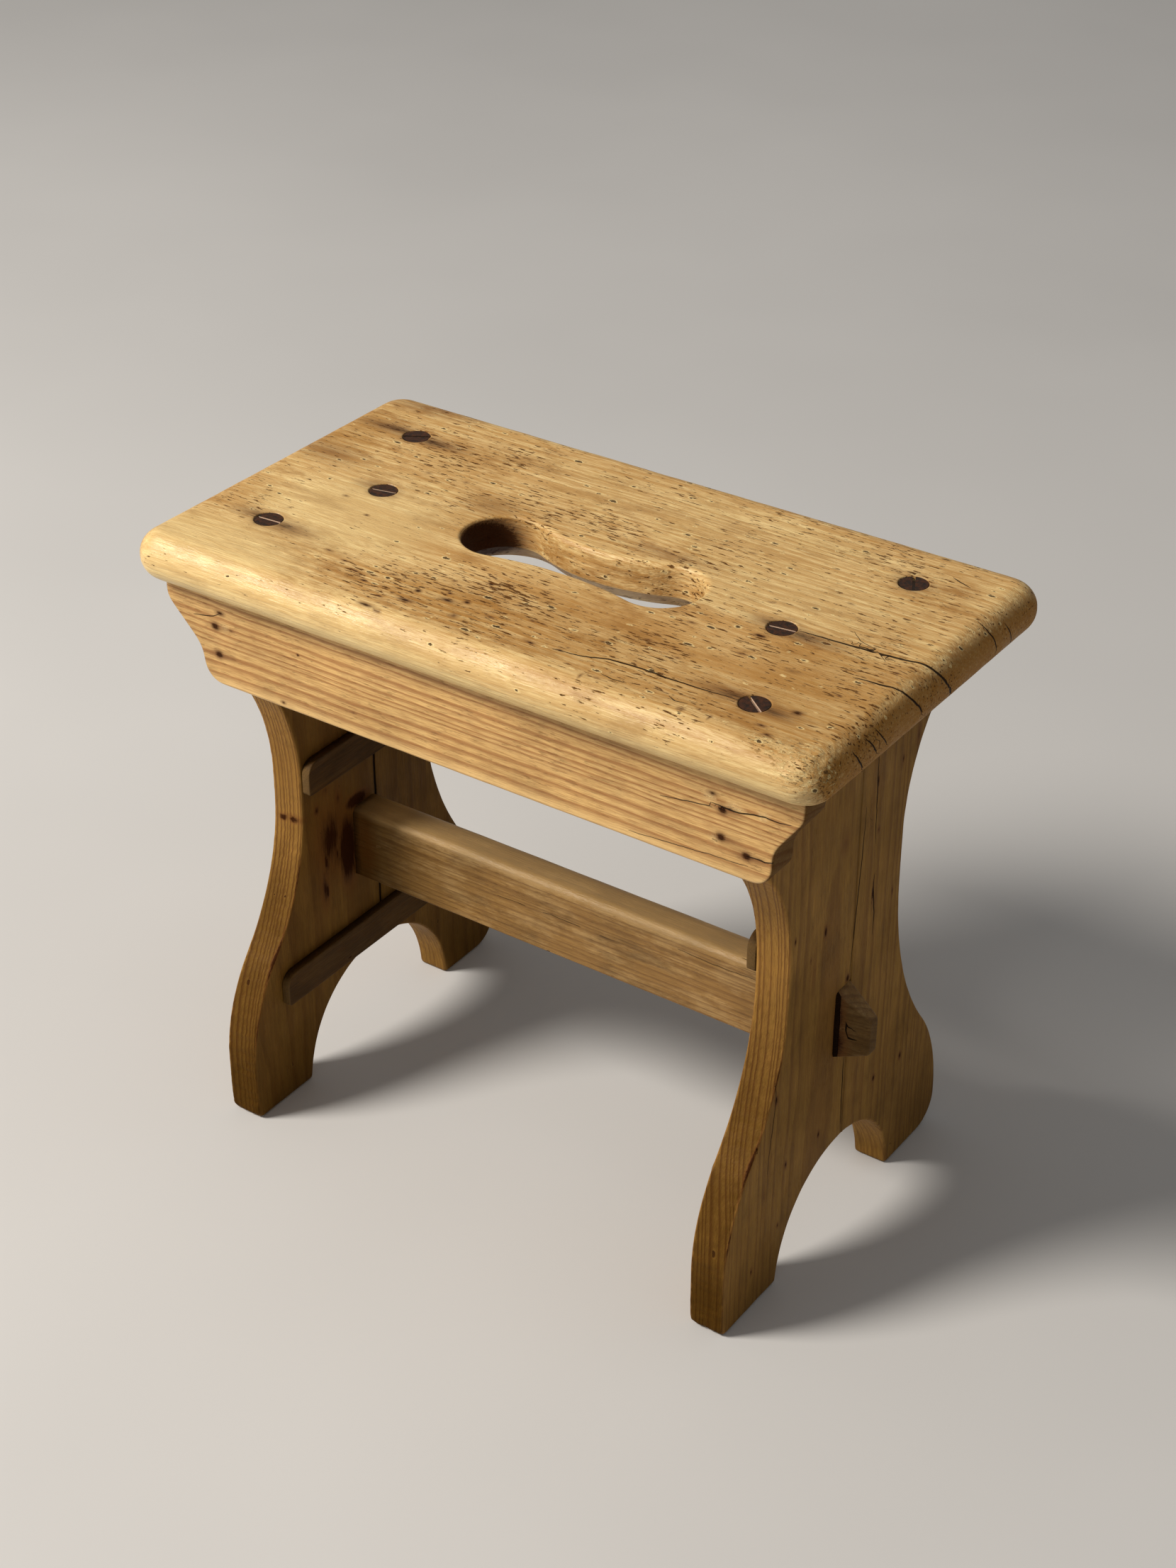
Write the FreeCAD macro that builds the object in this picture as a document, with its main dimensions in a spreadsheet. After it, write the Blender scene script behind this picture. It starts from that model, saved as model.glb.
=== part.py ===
"""Shoe fitting stool: a low pine stool whose two arched ends are each jointed from two boards.

Frame: the floor is z = 0, the seat's long side runs along X, the front faces -Y, and the
origin is the middle of the footprint. All sizes are in millimetres.
"""
import FreeCAD, Part
import Sketcher
import math
import os

# Driving sizes
SIZES = {
    # seat board, with its rounded nose, hand slot and plan corners
    "seat_height": 305.0,
    "seat_length": 353.0,
    "seat_width": 192.5,
    "seat_thickness": 23.0,
    "seat_corner": 14.5,
    "nose_share": 0.49,
    "slot_lobe": 18.9,
    "slot_span": 82.4,
    "slot_aside": 3.0,
    "slot_forward": 3.7,
    "slot_waist_front": 13.8,
    "slot_waist_back": 10.2,
    "slot_rim": 2.6,
    "slot_bevel": 7.5,
    # front apron, with its ogee ends
    "apron_height": 46.0,
    "apron_thickness": 16.0,
    "apron_foot_proud_left": 2.4,
    "apron_foot_proud_right": 10.4,
    "apron_cove_proud_left": 4.6,
    "apron_cove_proud_right": 8.9,
    "apron_lip": 9.5,
    "apron_cove_height": 17.0,
    "lip_round": 8.0,
    "cove_round": 15.0,
    "corner_round": 10.0,
    # end boards
    "board_thickness": 17.6,
    "seat_overhang": 34.4,
    "board_seam": 3.7,
    "arch_left": 54.0,
    "arch_right": 49.6,
    "foot_inset_front": 0.75,
    "heel_front": 30.0,
    "bulge_front_share": 0.41,
    "waist_cut_front": 19.0,
    "waist_low_front_share": 0.68,
    "waist_high_front_share": 0.73,
    "front_ledge_left": 4.0,
    "front_ledge_right": 8.5,
    "heel_round_front_share": 0.12,
    "foot_inset_back": 0.25,
    "heel_back": 17.0,
    "bulge_back_share": 0.36,
    "waist_cut_back": 40.5,
    "waist_low_back_share": 0.71,
    "waist_high_back_share": 0.82,
    "back_fillet": 19.8,
    "heel_round_back_share": 0.85,
    # stretcher with through tenons, whittled where they stand proud
    "stretcher_rise": 100.0,
    "stretcher_height": 38.5,
    "stretcher_thickness": 19.0,
    "stretcher_round": 4.5,
    "cheek_back": 1.2,
    "tenon_step": 1.2,
    "tenon_height": 35.0,
    "tenon_width": 12.5,
    "tenon_proud": 14.8,
    "tenon_top_drop": 13.0,
    "tenon_bottom_rise": 3.5,
    "tenon_front_taper": 5.5,
    "joint_gap": 0.15,
    # laths that tie each pair of boards, and the cleats under the seat
    "lath_thickness": 4.8,
    "lath_height": 17.5,
    "upper_lath_rise": 164.0,
    "lower_lath_rise": 57.0,
    "upper_lath_margin": 0.8,
    "lower_lath_inset": 23.25,
    "lath_round": 7.0,
    "cleat_width": 32.0,
    "cleat_depth": 16.0,
    # slotted screws and cut nails
    "screw_head": 12.8,
    "screw_shank": 5.6,
    "screw_length": 36.0,
    "screw_slot": 1.3,
    "screw_slot_depth": 1.3,
    "screw_sunk": 0.3,
    "nail_head": 4.4,
    "nail_head_depth": 0.9,
    "nail_shank": 2.4,
    "nail_tip": 1.2,
    "nail_length": 38.0,
    "lath_nail_length": 18.0,
    "nail_sunk": 0.2,
    "fastener_gap": 0.1,
    # how far a cut runs past the wood, and how near two places count as the same
    "overrun": 4.0,
    "same_place": 0.07,
}

# Sizes worked out from the driving ones
DERIVED = {
    "seat_underside": "=seat_height - seat_thickness",
    "seat_half_length": "=seat_length / 2",
    "seat_half_width": "=seat_width / 2",
    "nose": "=nose_share * seat_thickness",
    "slot_half": "=slot_span / 2",
    "slot_reach": "=slot_half ^ 2 - slot_lobe ^ 2",
    "slot_curve_front": "=(slot_reach + slot_waist_front ^ 2) / (2 * (slot_lobe - slot_waist_front))",
    "slot_curve_back": "=(slot_reach + slot_waist_back ^ 2) / (2 * (slot_lobe - slot_waist_back))",
    "slot_centre_front": "=slot_curve_front + slot_waist_front",
    "slot_centre_back": "=slot_curve_back + slot_waist_back",
    "end_outside": "=seat_half_length - seat_overhang",
    "end_spread": "=end_outside - board_thickness",
    "apron_face": "=seat_half_width - nose",
    "apron_back": "=apron_face - apron_thickness",
    "apron_rise": "=seat_underside - apron_height",
    "apron_lip_height": "=apron_height - apron_lip",
    "apron_top_half": "=seat_half_length - nose",
    "apron_cove_left": "=end_outside + apron_cove_proud_left",
    "apron_foot_left": "=end_outside + apron_foot_proud_left",
    "apron_cove_right": "=end_outside + apron_cove_proud_right",
    "apron_foot_right": "=end_outside + apron_foot_proud_right",
    "front_bulge_height": "=heel_front + bulge_front_share * (front_waist_low - heel_front)",
    "front_waist_low": "=waist_low_front_share * apron_rise",
    "front_waist_high": "=waist_high_front_share * apron_rise",
    "foot_front": "=seat_half_width - foot_inset_front",
    "shoulder_front_left": "=apron_back + front_ledge_left",
    "shoulder_front_right": "=apron_back + front_ledge_right",
    "waist_front": "=apron_back - waist_cut_front",
    "front_shoulder_rise": "=apron_rise",
    "front_heel_round": "=heel_round_front_share * heel_front",
    "back_bulge_height": "=heel_back + bulge_back_share * (back_waist_low - heel_back)",
    "back_waist_low": "=waist_low_back_share * apron_rise",
    "back_waist_high": "=waist_high_back_share * apron_rise",
    "foot_back": "=seat_half_width - foot_inset_back",
    "shoulder_back": "=apron_face",
    "waist_back": "=shoulder_back - waist_cut_back",
    "back_shoulder_rise": "=seat_underside - back_fillet",
    "back_heel_round": "=heel_round_back_share * heel_back",
    "stretcher_top": "=stretcher_rise + stretcher_height",
    "tenon_low": "=stretcher_rise + tenon_step",
    "tenon_high": "=tenon_low + tenon_height",
    "mortise_low": "=tenon_low - joint_gap",
    "mortise_high": "=tenon_high + joint_gap",
    "mortise_front": "=board_seam - tenon_width - joint_gap",
    "mortise_back": "=board_seam + overrun",
    "tenon_back": "=board_seam - joint_gap",
    "tenon_front": "=board_seam - tenon_width",
    "tenon_tip": "=end_outside + tenon_proud",
    "tenon_tip_high": "=tenon_high - tenon_top_drop",
    "tenon_tip_low": "=tenon_low + tenon_bottom_rise",
    "tenon_tip_front": "=tenon_front + tenon_front_taper",
    "stretcher_back": "=board_seam + cheek_back",
    "stretcher_front": "=stretcher_back - stretcher_thickness",
    "cut_front": "=stretcher_front - overrun",
    "cut_back": "=stretcher_back + overrun",
    "cut_tip": "=tenon_tip + overrun",
    "upper_lath_front": "=waist_front - upper_lath_margin",
    "upper_lath_back": "=waist_back - upper_lath_margin",
    "lower_lath_half": "=seat_half_width - lower_lath_inset",
    "cleat_inside": "=end_spread - cleat_width",
    "screw_head_radius": "=screw_head / 2",
    "screw_shank_radius": "=screw_shank / 2",
    "screw_cone": "=screw_head_radius - screw_shank_radius",
    "screw_top": "=seat_height - screw_sunk",
    "screw_hole_radius": "=screw_shank_radius + fastener_gap",
    "screw_mouth_radius": "=screw_head_radius + screw_sunk + fastener_gap",
    "screw_mouth_depth": "=screw_mouth_radius - screw_hole_radius",
    "screw_slot_half": "=screw_slot / 2",
    "nail_head_half": "=nail_head / 2",
    "nail_half": "=nail_shank / 2",
    "nail_tip_half": "=nail_tip / 2",
    "nail_hole": "=nail_shank + 2 * fastener_gap",
    "nail_hole_half": "=nail_hole / 2",
    "nail_mouth_half": "=nail_head_half + fastener_gap",
    "nail_mouth_depth": "=nail_head_depth + nail_sunk",
    "nail_face": "=apron_face - nail_sunk",
    "lath_face": "=end_spread - lath_thickness",
    "lath_nail_face": "=lath_face + nail_sunk",
    "lath_middle": "=lath_height / 2",
}

# Screw places. Each row has the end (-1 left, 1 right), the share of the board's or the
# cleat's width measured from the inner face, the share of the way from the middle to the
# apron's back, and the turn of the slot in degrees.
OUTER_SCREW_SHARES = (
    (-1, 0.50, -0.72, 4.0),
    (-1, 0.50, 0.82, 30.0),
    (1, 0.24, -0.945, -38.0),
    (1, 0.34, 0.86, -62.0),
)
MIDDLE_SCREW_SHARES = (
    (-1, 0.46, 0.03, 12.0),
    (1, 0.60, -0.09, 8.0),
)

# Apron nail places: end, share of the board's thickness from its inner face, share of the
# apron's height.
APRON_NAIL_SHARES = (
    (-1, 0.66, 0.34),
    (-1, 0.72, 0.64),
    (1, 0.18, 0.64),
    (1, 0.16, 0.36),
    (1, 0.84, 0.26),
)

# Lath nail places: share of the lath's reach towards the front and towards the back.
LATH_NAIL_SHARES = (-0.86, 0.20, 0.62)

doc = FreeCAD.newDocument("fitting_stool")
sheet = doc.addObject("Spreadsheet::Sheet", "sizes")


def fill_sheet(rows, first):
    for line, (alias, text) in enumerate(rows, first):
        sheet.set(f"A{line}", alias)
        sheet.set(f"B{line}", text)
        sheet.setAlias(f"B{line}", alias)


fill_sheet([(alias, str(value)) for alias, value in SIZES.items()], 1)
fill_sheet(list(DERIVED.items()), len(SIZES) + 1)
doc.recompute()


def number(place):
    """Value of a named size; a leading minus turns it round."""
    if place.startswith("-"):
        return -float(sheet.get(place[1:]))
    return float(sheet.get(place))


def formula(place):
    if place.startswith("-"):
        return f"-sizes.{place[1:]}"
    return f"sizes.{place}"


def bind(piece, **places):
    """Tie properties of a piece to named sizes."""
    for name, place in places.items():
        piece.setExpression(name, formula(place))


def origin_plane(body, role):
    return next(plane for plane in body.Origin.OriginFeatures if plane.Role == role)


def sketch_on(body, name, role, lift=None):
    sketch = body.newObject("Sketcher::SketchObject", name)
    sketch.AttachmentSupport = (origin_plane(body, role), [""])
    sketch.MapMode = "FlatFace"
    if lift:
        sketch.setExpression("AttachmentOffset.Base.z", formula(lift))
    return sketch


def hold(sketch, kind, place, *ends):
    """Set one distance of a sketch to a named size."""
    index = sketch.addConstraint(Sketcher.Constraint(kind, *ends, number(place)))
    sketch.setExpression(f"Constraints[{index}]", formula(place))


def locate(sketch, edge, end, across, up):
    """Hold the end of an edge at two named places; None puts it on the axis."""
    if across is None:
        sketch.addConstraint(Sketcher.Constraint("PointOnObject", edge, end, -2))
    else:
        hold(sketch, "DistanceX", across, edge, end)
    if up is None:
        sketch.addConstraint(Sketcher.Constraint("PointOnObject", edge, end, -1))
    else:
        hold(sketch, "DistanceY", up, edge, end)


def point(across, up):
    return FreeCAD.Vector(number(across) if across else 0, number(up) if up else 0, 0)


def polygon(sketch, corners):
    """Closed outline of straight edges through corners given by named places."""
    spots = [point(*corner) for corner in corners]
    edges = []
    for start, stop in zip(spots, spots[1:] + spots[:1]):
        edges.append(sketch.addGeometry(Part.LineSegment(start, stop)))
    for edge, following in zip(edges, edges[1:] + edges[:1]):
        sketch.addConstraint(Sketcher.Constraint("Coincident", edge, 2, following, 1))
    for edge, corner in zip(edges, corners):
        locate(sketch, edge, 1, *corner)


def arc(sketch, centre, radius, start, stop):
    """Arc drawn anticlockwise between two points of a circle."""
    first = math.atan2(start.y - centre.y, start.x - centre.x)
    last = math.atan2(stop.y - centre.y, stop.x - centre.x)
    circle = Part.Circle(centre, FreeCAD.Vector(0, 0, 1), radius)
    return sketch.addGeometry(Part.ArcOfCircle(circle, first, last))


def padded(body, name, sketch, length, back=False):
    pad = body.newObject("PartDesign::Pad", name)
    pad.Profile = sketch
    pad.Reversed = back
    bind(pad, Length=length)
    sketch.Visibility = False
    return pad


def cut_through(body, name, sketch, back=False):
    """Cut a sketch through all of a body, and make sure that it removes wood."""
    doc.recompute()
    before = body.Shape.Volume
    pocket = body.newObject("PartDesign::Pocket", name)
    pocket.Profile = sketch
    pocket.Type = "ThroughAll"
    pocket.Reversed = back
    doc.recompute()
    if not body.Shape.Volume < before:
        raise RuntimeError(f"{name} removes nothing from {body.Label}")
    return pocket


def edges_of(feature, wanted):
    doc.recompute()
    found = [f"Edge{n}" for n, edge in enumerate(feature.Shape.Edges, 1) if wanted(edge)]
    if not found:
        raise RuntimeError(f"no edge of {feature.Label} fits")
    return found


def rounded(body, name, feature, wanted, radius):
    fillet = body.newObject("PartDesign::Fillet", name)
    fillet.Base = (feature, edges_of(feature, wanted))
    bind(fillet, Radius=radius)
    return fillet


def near(value, target):
    return abs(value - target) < number("same_place")


def flat_at(edge, height):
    box = edge.BoundBox
    return near(box.ZMin, height) and near(box.ZMax, height)


def runs_along(edge, direction):
    """True for an edge whose two ends lie on a line in the direction given."""
    run = edge.Vertexes[-1].Point - edge.Vertexes[0].Point
    return not near(run.dot(direction), 0) and near(run.cross(direction).Length, 0)


X, Y, Z = FreeCAD.Vector(1, 0, 0), FreeCAD.Vector(0, 1, 0), FreeCAD.Vector(0, 0, 1)


# Seat board: bullnose all round, and a hand slot of two bored lobes joined by a waist,
# with its arris rounded on top and cut back to a wide bevel below, for the fingers
def seat_board_blank():
    body = doc.addObject("PartDesign::Body", "seat_board_blank")
    bind(body, **{"Placement.Base.z": "seat_underside"})
    outline = sketch_on(body, "seat_outline", "XY_Plane")
    polygon(outline, (
        ("-seat_half_length", "-seat_half_width"),
        ("seat_half_length", "-seat_half_width"),
        ("seat_half_length", "seat_half_width"),
        ("-seat_half_length", "seat_half_width"),
    ))
    board = padded(body, "seat_thickness_pad", outline, "seat_thickness")
    corners = rounded(body, "seat_corners", board, lambda e: runs_along(e, Z), "seat_corner")
    rims = (0, number("seat_thickness"))
    nose = rounded(body, "seat_nose", corners, lambda e: any(flat_at(e, rim) for rim in rims), "nose")

    slot = sketch_on(body, "slot_outline", "XY_Plane")
    slot.setExpression("AttachmentOffset.Base.x", "sizes.slot_aside")
    slot.setExpression("AttachmentOffset.Base.y", "-sizes.slot_forward")
    half, lobe = number("slot_half"), number("slot_lobe")
    lobes = {side: FreeCAD.Vector(side * half, 0, 0) for side in (-1, 1)}
    front = FreeCAD.Vector(0, -number("slot_centre_front"), 0)
    back = FreeCAD.Vector(0, number("slot_centre_back"), 0)

    def touch(side, centre):
        return lobes[side] + (centre - lobes[side]).normalize() * lobe

    right = arc(slot, lobes[1], lobe, touch(1, front), touch(1, back))
    back_side = arc(slot, back, number("slot_curve_back"), touch(-1, back), touch(1, back))
    left = arc(slot, lobes[-1], lobe, touch(-1, back), touch(-1, front))
    front_side = arc(slot, front, number("slot_curve_front"), touch(1, front), touch(-1, front))
    for first, end, second, start in (
        (right, 2, back_side, 2),
        (back_side, 1, left, 1),
        (left, 2, front_side, 2),
        (front_side, 1, right, 1),
    ):
        slot.addConstraint(Sketcher.Constraint("Tangent", first, end, second, start))
    hold(slot, "Radius", "slot_lobe", right)
    slot.addConstraint(Sketcher.Constraint("Equal", right, left))
    locate(slot, right, 3, "slot_half", None)
    locate(slot, left, 3, "-slot_half", None)
    hold(slot, "DistanceY", "-slot_centre_front", front_side, 3)
    hold(slot, "DistanceY", "slot_centre_back", back_side, 3)
    opening = cut_through(body, "hand_slot", slot, back=True)

    # the waist's two edges are enough, because the lobes' edges run on from them
    def slot_edge(height):
        def chosen(edge):
            centred = near(edge.BoundBox.Center.x, number("slot_aside"))
            return centred and flat_at(edge, height) and edge.BoundBox.YMax < number("apron_back")
        return chosen

    gripped = rounded(body, "slot_top_rim", opening, slot_edge(number("seat_thickness")), "slot_rim")
    eased = body.newObject("PartDesign::Chamfer", "slot_under_bevel")
    eased.Base = (gripped, edges_of(gripped, slot_edge(0)))
    bind(eased, Size="slot_bevel")
    return body


# Apron: straight board with an ogee cut on each end, face at local y = 0, foot at z = 0
def apron_blank(name):
    body = doc.addObject("PartDesign::Body", name)
    outline = sketch_on(body, f"{name}_outline", "XZ_Plane")
    polygon(outline, (
        ("apron_foot_right", None),
        ("apron_cove_right", "apron_cove_height"),
        ("apron_top_half", "apron_lip_height"),
        ("apron_top_half", "apron_height"),
        ("-apron_top_half", "apron_height"),
        ("-apron_top_half", "apron_lip_height"),
        ("-apron_cove_left", "apron_cove_height"),
        ("-apron_foot_left", None),
    ))
    board = padded(body, f"{name}_thickness", outline, "apron_thickness", back=True)

    def at_height(height):
        def chosen(edge):
            return runs_along(edge, Y) and flat_at(edge, height)
        return chosen

    lip = rounded(body, f"{name}_lips", board, at_height(number("apron_lip_height")), "lip_round")
    cove = rounded(body, f"{name}_coves", lip, at_height(number("apron_cove_height")), "cove_round")
    rounded(body, f"{name}_feet", cove, at_height(0), "corner_round")
    return body


# End board: half of an arched end, from the seam out to one shaped edge. The front one's
# flare ends in a ledge, above which it stands back to let the apron in. The back one's
# flare runs out to the line of the apron's face and on up to the seat.
def end_board_blank(name, side, end_name):
    part = "front" if side < 0 else "back"
    arch = f"arch_{end_name}"
    shoulder_name = f"shoulder_front_{end_name}" if side < 0 else "shoulder_back"
    sign = "-" if side < 0 else ""
    body = doc.addObject("PartDesign::Body", name)
    outline = sketch_on(body, f"{name}_outline", "YZ_Plane")

    def spot(across, up):
        return FreeCAD.Vector(side * across, up, 0)

    foot, heel = number(f"foot_{part}"), number(f"heel_{part}")
    waist, low, high = (number(n) for n in (f"waist_{part}", f"{part}_waist_low", f"{part}_waist_high"))
    shoulder, rise = number(shoulder_name), number(f"{part}_shoulder_rise")
    neck = number("apron_back") if side < 0 else shoulder
    top, seam, radius = number("seat_underside"), number("board_seam"), number(arch)
    crown = math.sqrt(radius ** 2 - seam ** 2)
    both = ((low - heel) ** 2 + (foot - waist) ** 2) / (2 * (foot - waist))
    bulge = both * number(f"bulge_{part}_share")
    hollow = both - bulge
    turn = number(f"{part}_bulge_height")
    turn_spot = spot(foot - bulge + math.sqrt(bulge ** 2 - (turn - heel) ** 2), turn)
    sweep = ((rise - high) ** 2 + (shoulder - waist) ** 2) / (2 * (shoulder - waist))

    # ends of an arc in the order in which the arc is drawn, for either side
    def ordered(first, second):
        return (first, second) if side < 0 else (second, first)

    head, tail = ordered(1, 2)
    seam_top = FreeCAD.Vector(seam, crown, 0)
    lines = {}
    for key, start, stop in (
        ("bottom", spot(radius, 0), spot(foot, 0)),
        ("heel", spot(foot, 0), spot(foot, heel)),
        ("waist", spot(waist, low), spot(waist, high)),
        ("ledge", spot(shoulder, rise), spot(neck, rise)),
        ("neck", spot(neck, rise), spot(neck, top)),
        ("top", spot(neck, top), FreeCAD.Vector(seam, top, 0)),
        ("seam", FreeCAD.Vector(seam, top, 0), seam_top),
    ):
        if start != stop:
            lines[key] = outline.addGeometry(Part.LineSegment(start, stop))
    arched = arc(outline, spot(0, 0), radius, *ordered(seam_top, spot(radius, 0)))
    swell = arc(outline, spot(foot - bulge, heel), bulge, *ordered(turn_spot, spot(foot, heel)))
    scoop = arc(outline, spot(waist + hollow, low), hollow, *ordered(turn_spot, spot(waist, low)))
    flare_ends = ordered(spot(waist, high), spot(shoulder, rise))
    flare = arc(outline, spot(waist + sweep, high), sweep, *flare_ends)

    for kind, *ends in (
        ("Coincident", arched, tail, lines["bottom"], 1),
        ("Coincident", lines["bottom"], 2, lines["heel"], 1),
        ("Tangent", lines["heel"], 2, swell, tail),
        ("Tangent", swell, head, scoop, head),
        ("Tangent", scoop, tail, lines["waist"], 1),
        ("Tangent", lines["waist"], 2, flare, head),
        ("Coincident", lines["neck"], 2, lines["top"], 1),
        ("Coincident", lines["top"], 2, lines["seam"], 1),
        ("Coincident", lines["seam"], 2, arched, head),
        ("Vertical", lines["heel"]),
        ("Vertical", lines["waist"]),
        ("Vertical", lines["neck"]),
        ("Horizontal", lines["top"]),
        ("Vertical", lines["seam"]),
        ("Coincident", arched, 3, -1, 1),
        ("PointOnObject", arched, tail, -1),
    ):
        outline.addConstraint(Sketcher.Constraint(kind, *ends))
    hold(outline, "Radius", arch, arched)
    locate(outline, lines["heel"], 1, f"{sign}foot_{part}", None)
    hold(outline, "DistanceY", f"heel_{part}", lines["heel"], 2)
    hold(outline, "DistanceY", f"{part}_bulge_height", swell, head)
    locate(outline, lines["waist"], 1, f"{sign}waist_{part}", f"{part}_waist_low")
    hold(outline, "DistanceY", f"{part}_waist_high", lines["waist"], 2)
    locate(outline, flare, tail, f"{sign}{shoulder_name}", f"{part}_shoulder_rise")
    if side < 0:
        outline.addConstraint(Sketcher.Constraint("Coincident", flare, tail, lines["ledge"], 1))
        outline.addConstraint(Sketcher.Constraint("Coincident", lines["ledge"], 2, lines["neck"], 1))
        locate(outline, lines["neck"], 1, "-apron_back", "apron_rise")
    else:
        outline.addConstraint(Sketcher.Constraint("Coincident", flare, tail, lines["neck"], 1))
    locate(outline, lines["top"], 2, "board_seam", "seat_underside")

    board = padded(body, f"{name}_thickness", outline, "board_thickness")

    def heel_corner(edge):
        return runs_along(edge, X) and flat_at(edge, 0) and near(side * edge.BoundBox.YMin, foot)

    rounded(body, f"{name}_heel", board, heel_corner, f"{part}_heel_round")
    if side < 0:
        mortise = sketch_on(body, f"{name}_mortise_outline", "YZ_Plane")
        polygon(mortise, (
            ("mortise_front", "mortise_low"),
            ("mortise_back", "mortise_low"),
            ("mortise_back", "mortise_high"),
            ("mortise_front", "mortise_high"),
        ))
        cut_through(body, f"{name}_mortise", mortise, back=True)
    return body


# Stretcher: worn top edges, shouldered through tenons, and tips whittled to a wedge
def stretcher():
    body = doc.addObject("PartDesign::Body", "stretcher")
    side_view = sketch_on(body, "stretcher_side", "XZ_Plane", "-stretcher_front")
    half = (
        ("end_spread", "stretcher_rise"),
        ("end_spread", "tenon_low"),
        ("end_outside", "tenon_low"),
        ("tenon_tip", "tenon_tip_low"),
        ("tenon_tip", "tenon_tip_high"),
        ("end_outside", "tenon_high"),
        ("end_spread", "tenon_high"),
        ("end_spread", "stretcher_top"),
    )
    polygon(side_view, half + tuple((f"-{across}", up) for across, up in reversed(half)))
    bar = padded(body, "stretcher_thickness_pad", side_view, "stretcher_thickness", back=True)

    def top_arris(edge):
        return runs_along(edge, X) and flat_at(edge, number("stretcher_top"))

    rounded(body, "stretcher_worn_top", bar, top_arris, "stretcher_round")
    for end, sign in (("right", ""), ("left", "-")):
        front_cheek = sketch_on(body, f"{end}_front_cheek", "XY_Plane")
        polygon(front_cheek, (
            (f"{sign}end_spread", "cut_front"),
            (f"{sign}cut_tip", "cut_front"),
            (f"{sign}cut_tip", "tenon_tip_front"),
            (f"{sign}tenon_tip", "tenon_tip_front"),
            (f"{sign}end_outside", "tenon_front"),
            (f"{sign}end_spread", "tenon_front"),
        ))
        cut_through(body, f"{end}_front_shoulder", front_cheek, back=True)
        back_cheek = sketch_on(body, f"{end}_back_cheek", "XY_Plane")
        polygon(back_cheek, (
            (f"{sign}end_spread", "tenon_back"),
            (f"{sign}cut_tip", "tenon_back"),
            (f"{sign}cut_tip", "cut_back"),
            (f"{sign}end_spread", "cut_back"),
        ))
        cut_through(body, f"{end}_back_shoulder", back_cheek, back=True)
    return body


# Lath: thin strip nailed over the seam inside each end, its upper corners rounded
def lath_blank(name, front, back):
    body = doc.addObject("PartDesign::Body", name)
    outline = sketch_on(body, f"{name}_outline", "YZ_Plane")
    polygon(outline, (
        (f"-{front}", None),
        (back, None),
        (back, "lath_height"),
        (f"-{front}", "lath_height"),
    ))
    strip = padded(body, f"{name}_thickness", outline, "lath_thickness")

    def upper_corner(edge):
        return runs_along(edge, X) and flat_at(edge, number("lath_height"))

    rounded(body, f"{name}_ends", strip, upper_corner, "lath_round")
    return body


# Fastener or its hole: a profile turned about its own axis, head up
def turned(name, profile):
    body = doc.addObject("PartDesign::Body", name)
    outline = sketch_on(body, f"{name}_profile", "XZ_Plane")
    polygon(outline, profile)
    shaft = body.newObject("PartDesign::Revolution", f"{name}_turned")
    shaft.Profile = outline
    shaft.ReferenceAxis = (outline, ["V_Axis"])
    shaft.Angle = 360
    return body


def screw_pattern():
    body = turned("screw_pattern", (
        (None, None),
        ("screw_head_radius", None),
        ("screw_shank_radius", "-screw_cone"),
        ("screw_shank_radius", "-screw_length"),
        (None, "-screw_length"),
    ))
    slot = sketch_on(body, "screw_slot_outline", "XY_Plane")
    polygon(slot, (
        ("-screw_head", "-screw_slot_half"),
        ("screw_head", "-screw_slot_half"),
        ("screw_head", "screw_slot_half"),
        ("-screw_head", "screw_slot_half"),
    ))
    doc.recompute()
    before = body.Shape.Volume
    cut = body.newObject("PartDesign::Pocket", "screw_slot_cut")
    cut.Profile = slot
    bind(cut, Length="screw_slot_depth")
    doc.recompute()
    if not body.Shape.Volume < before:
        raise RuntimeError("the screw has no slot")
    return body


def screw_hole_pattern():
    return turned("screw_hole_pattern", (
        (None, None),
        ("screw_mouth_radius", None),
        ("screw_hole_radius", "-screw_mouth_depth"),
        ("screw_hole_radius", "-screw_length"),
        (None, "-screw_length"),
    ))


# Cut nail: a square head on a shank that narrows on two sides, head up and point down.
# The hole for it has the same build with no taper.
def cut_nail(name, head_half, head_depth, shank, shank_half, tip_half, length):
    body = doc.addObject("PartDesign::Body", name)
    side_view = sketch_on(body, f"{name}_side", "XZ_Plane", shank_half)
    polygon(side_view, (
        (shank_half, None),
        (f"-{shank_half}", None),
        (f"-{tip_half}", f"-{length}"),
        (tip_half, f"-{length}"),
    ))
    padded(body, f"{name}_shank", side_view, shank, back=True)
    head = sketch_on(body, f"{name}_head", "XY_Plane")
    polygon(head, (
        (f"-{head_half}", f"-{head_half}"),
        (head_half, f"-{head_half}"),
        (head_half, head_half),
        (f"-{head_half}", head_half),
    ))
    padded(body, f"{name}_head_pad", head, head_depth, back=True)
    return body


def nail_pattern(name, length):
    return cut_nail(
        name, "nail_head_half", "nail_head_depth", "nail_shank", "nail_half", "nail_tip_half", length
    )


def nail_hole_pattern(name, length):
    return cut_nail(
        name, "nail_mouth_half", "nail_mouth_depth", "nail_hole", "nail_hole_half", "nail_hole_half", length
    )


def place(piece, across, along, up):
    """Tie a piece's place to three formulas in named sizes."""
    for axis, text in zip("xyz", (across, along, up)):
        piece.setExpression(f"Placement.Base.{axis}", text)


def copy_of(pattern, name, places, turn):
    link = doc.addObject("App::Link", name)
    link.LinkedObject = pattern
    link.Placement = FreeCAD.Placement(FreeCAD.Vector(), turn)
    place(link, *places)
    return link


def group(name, pieces):
    together = doc.addObject("Part::Compound", name)
    together.Label = name
    together.Links = pieces
    return together


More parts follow.
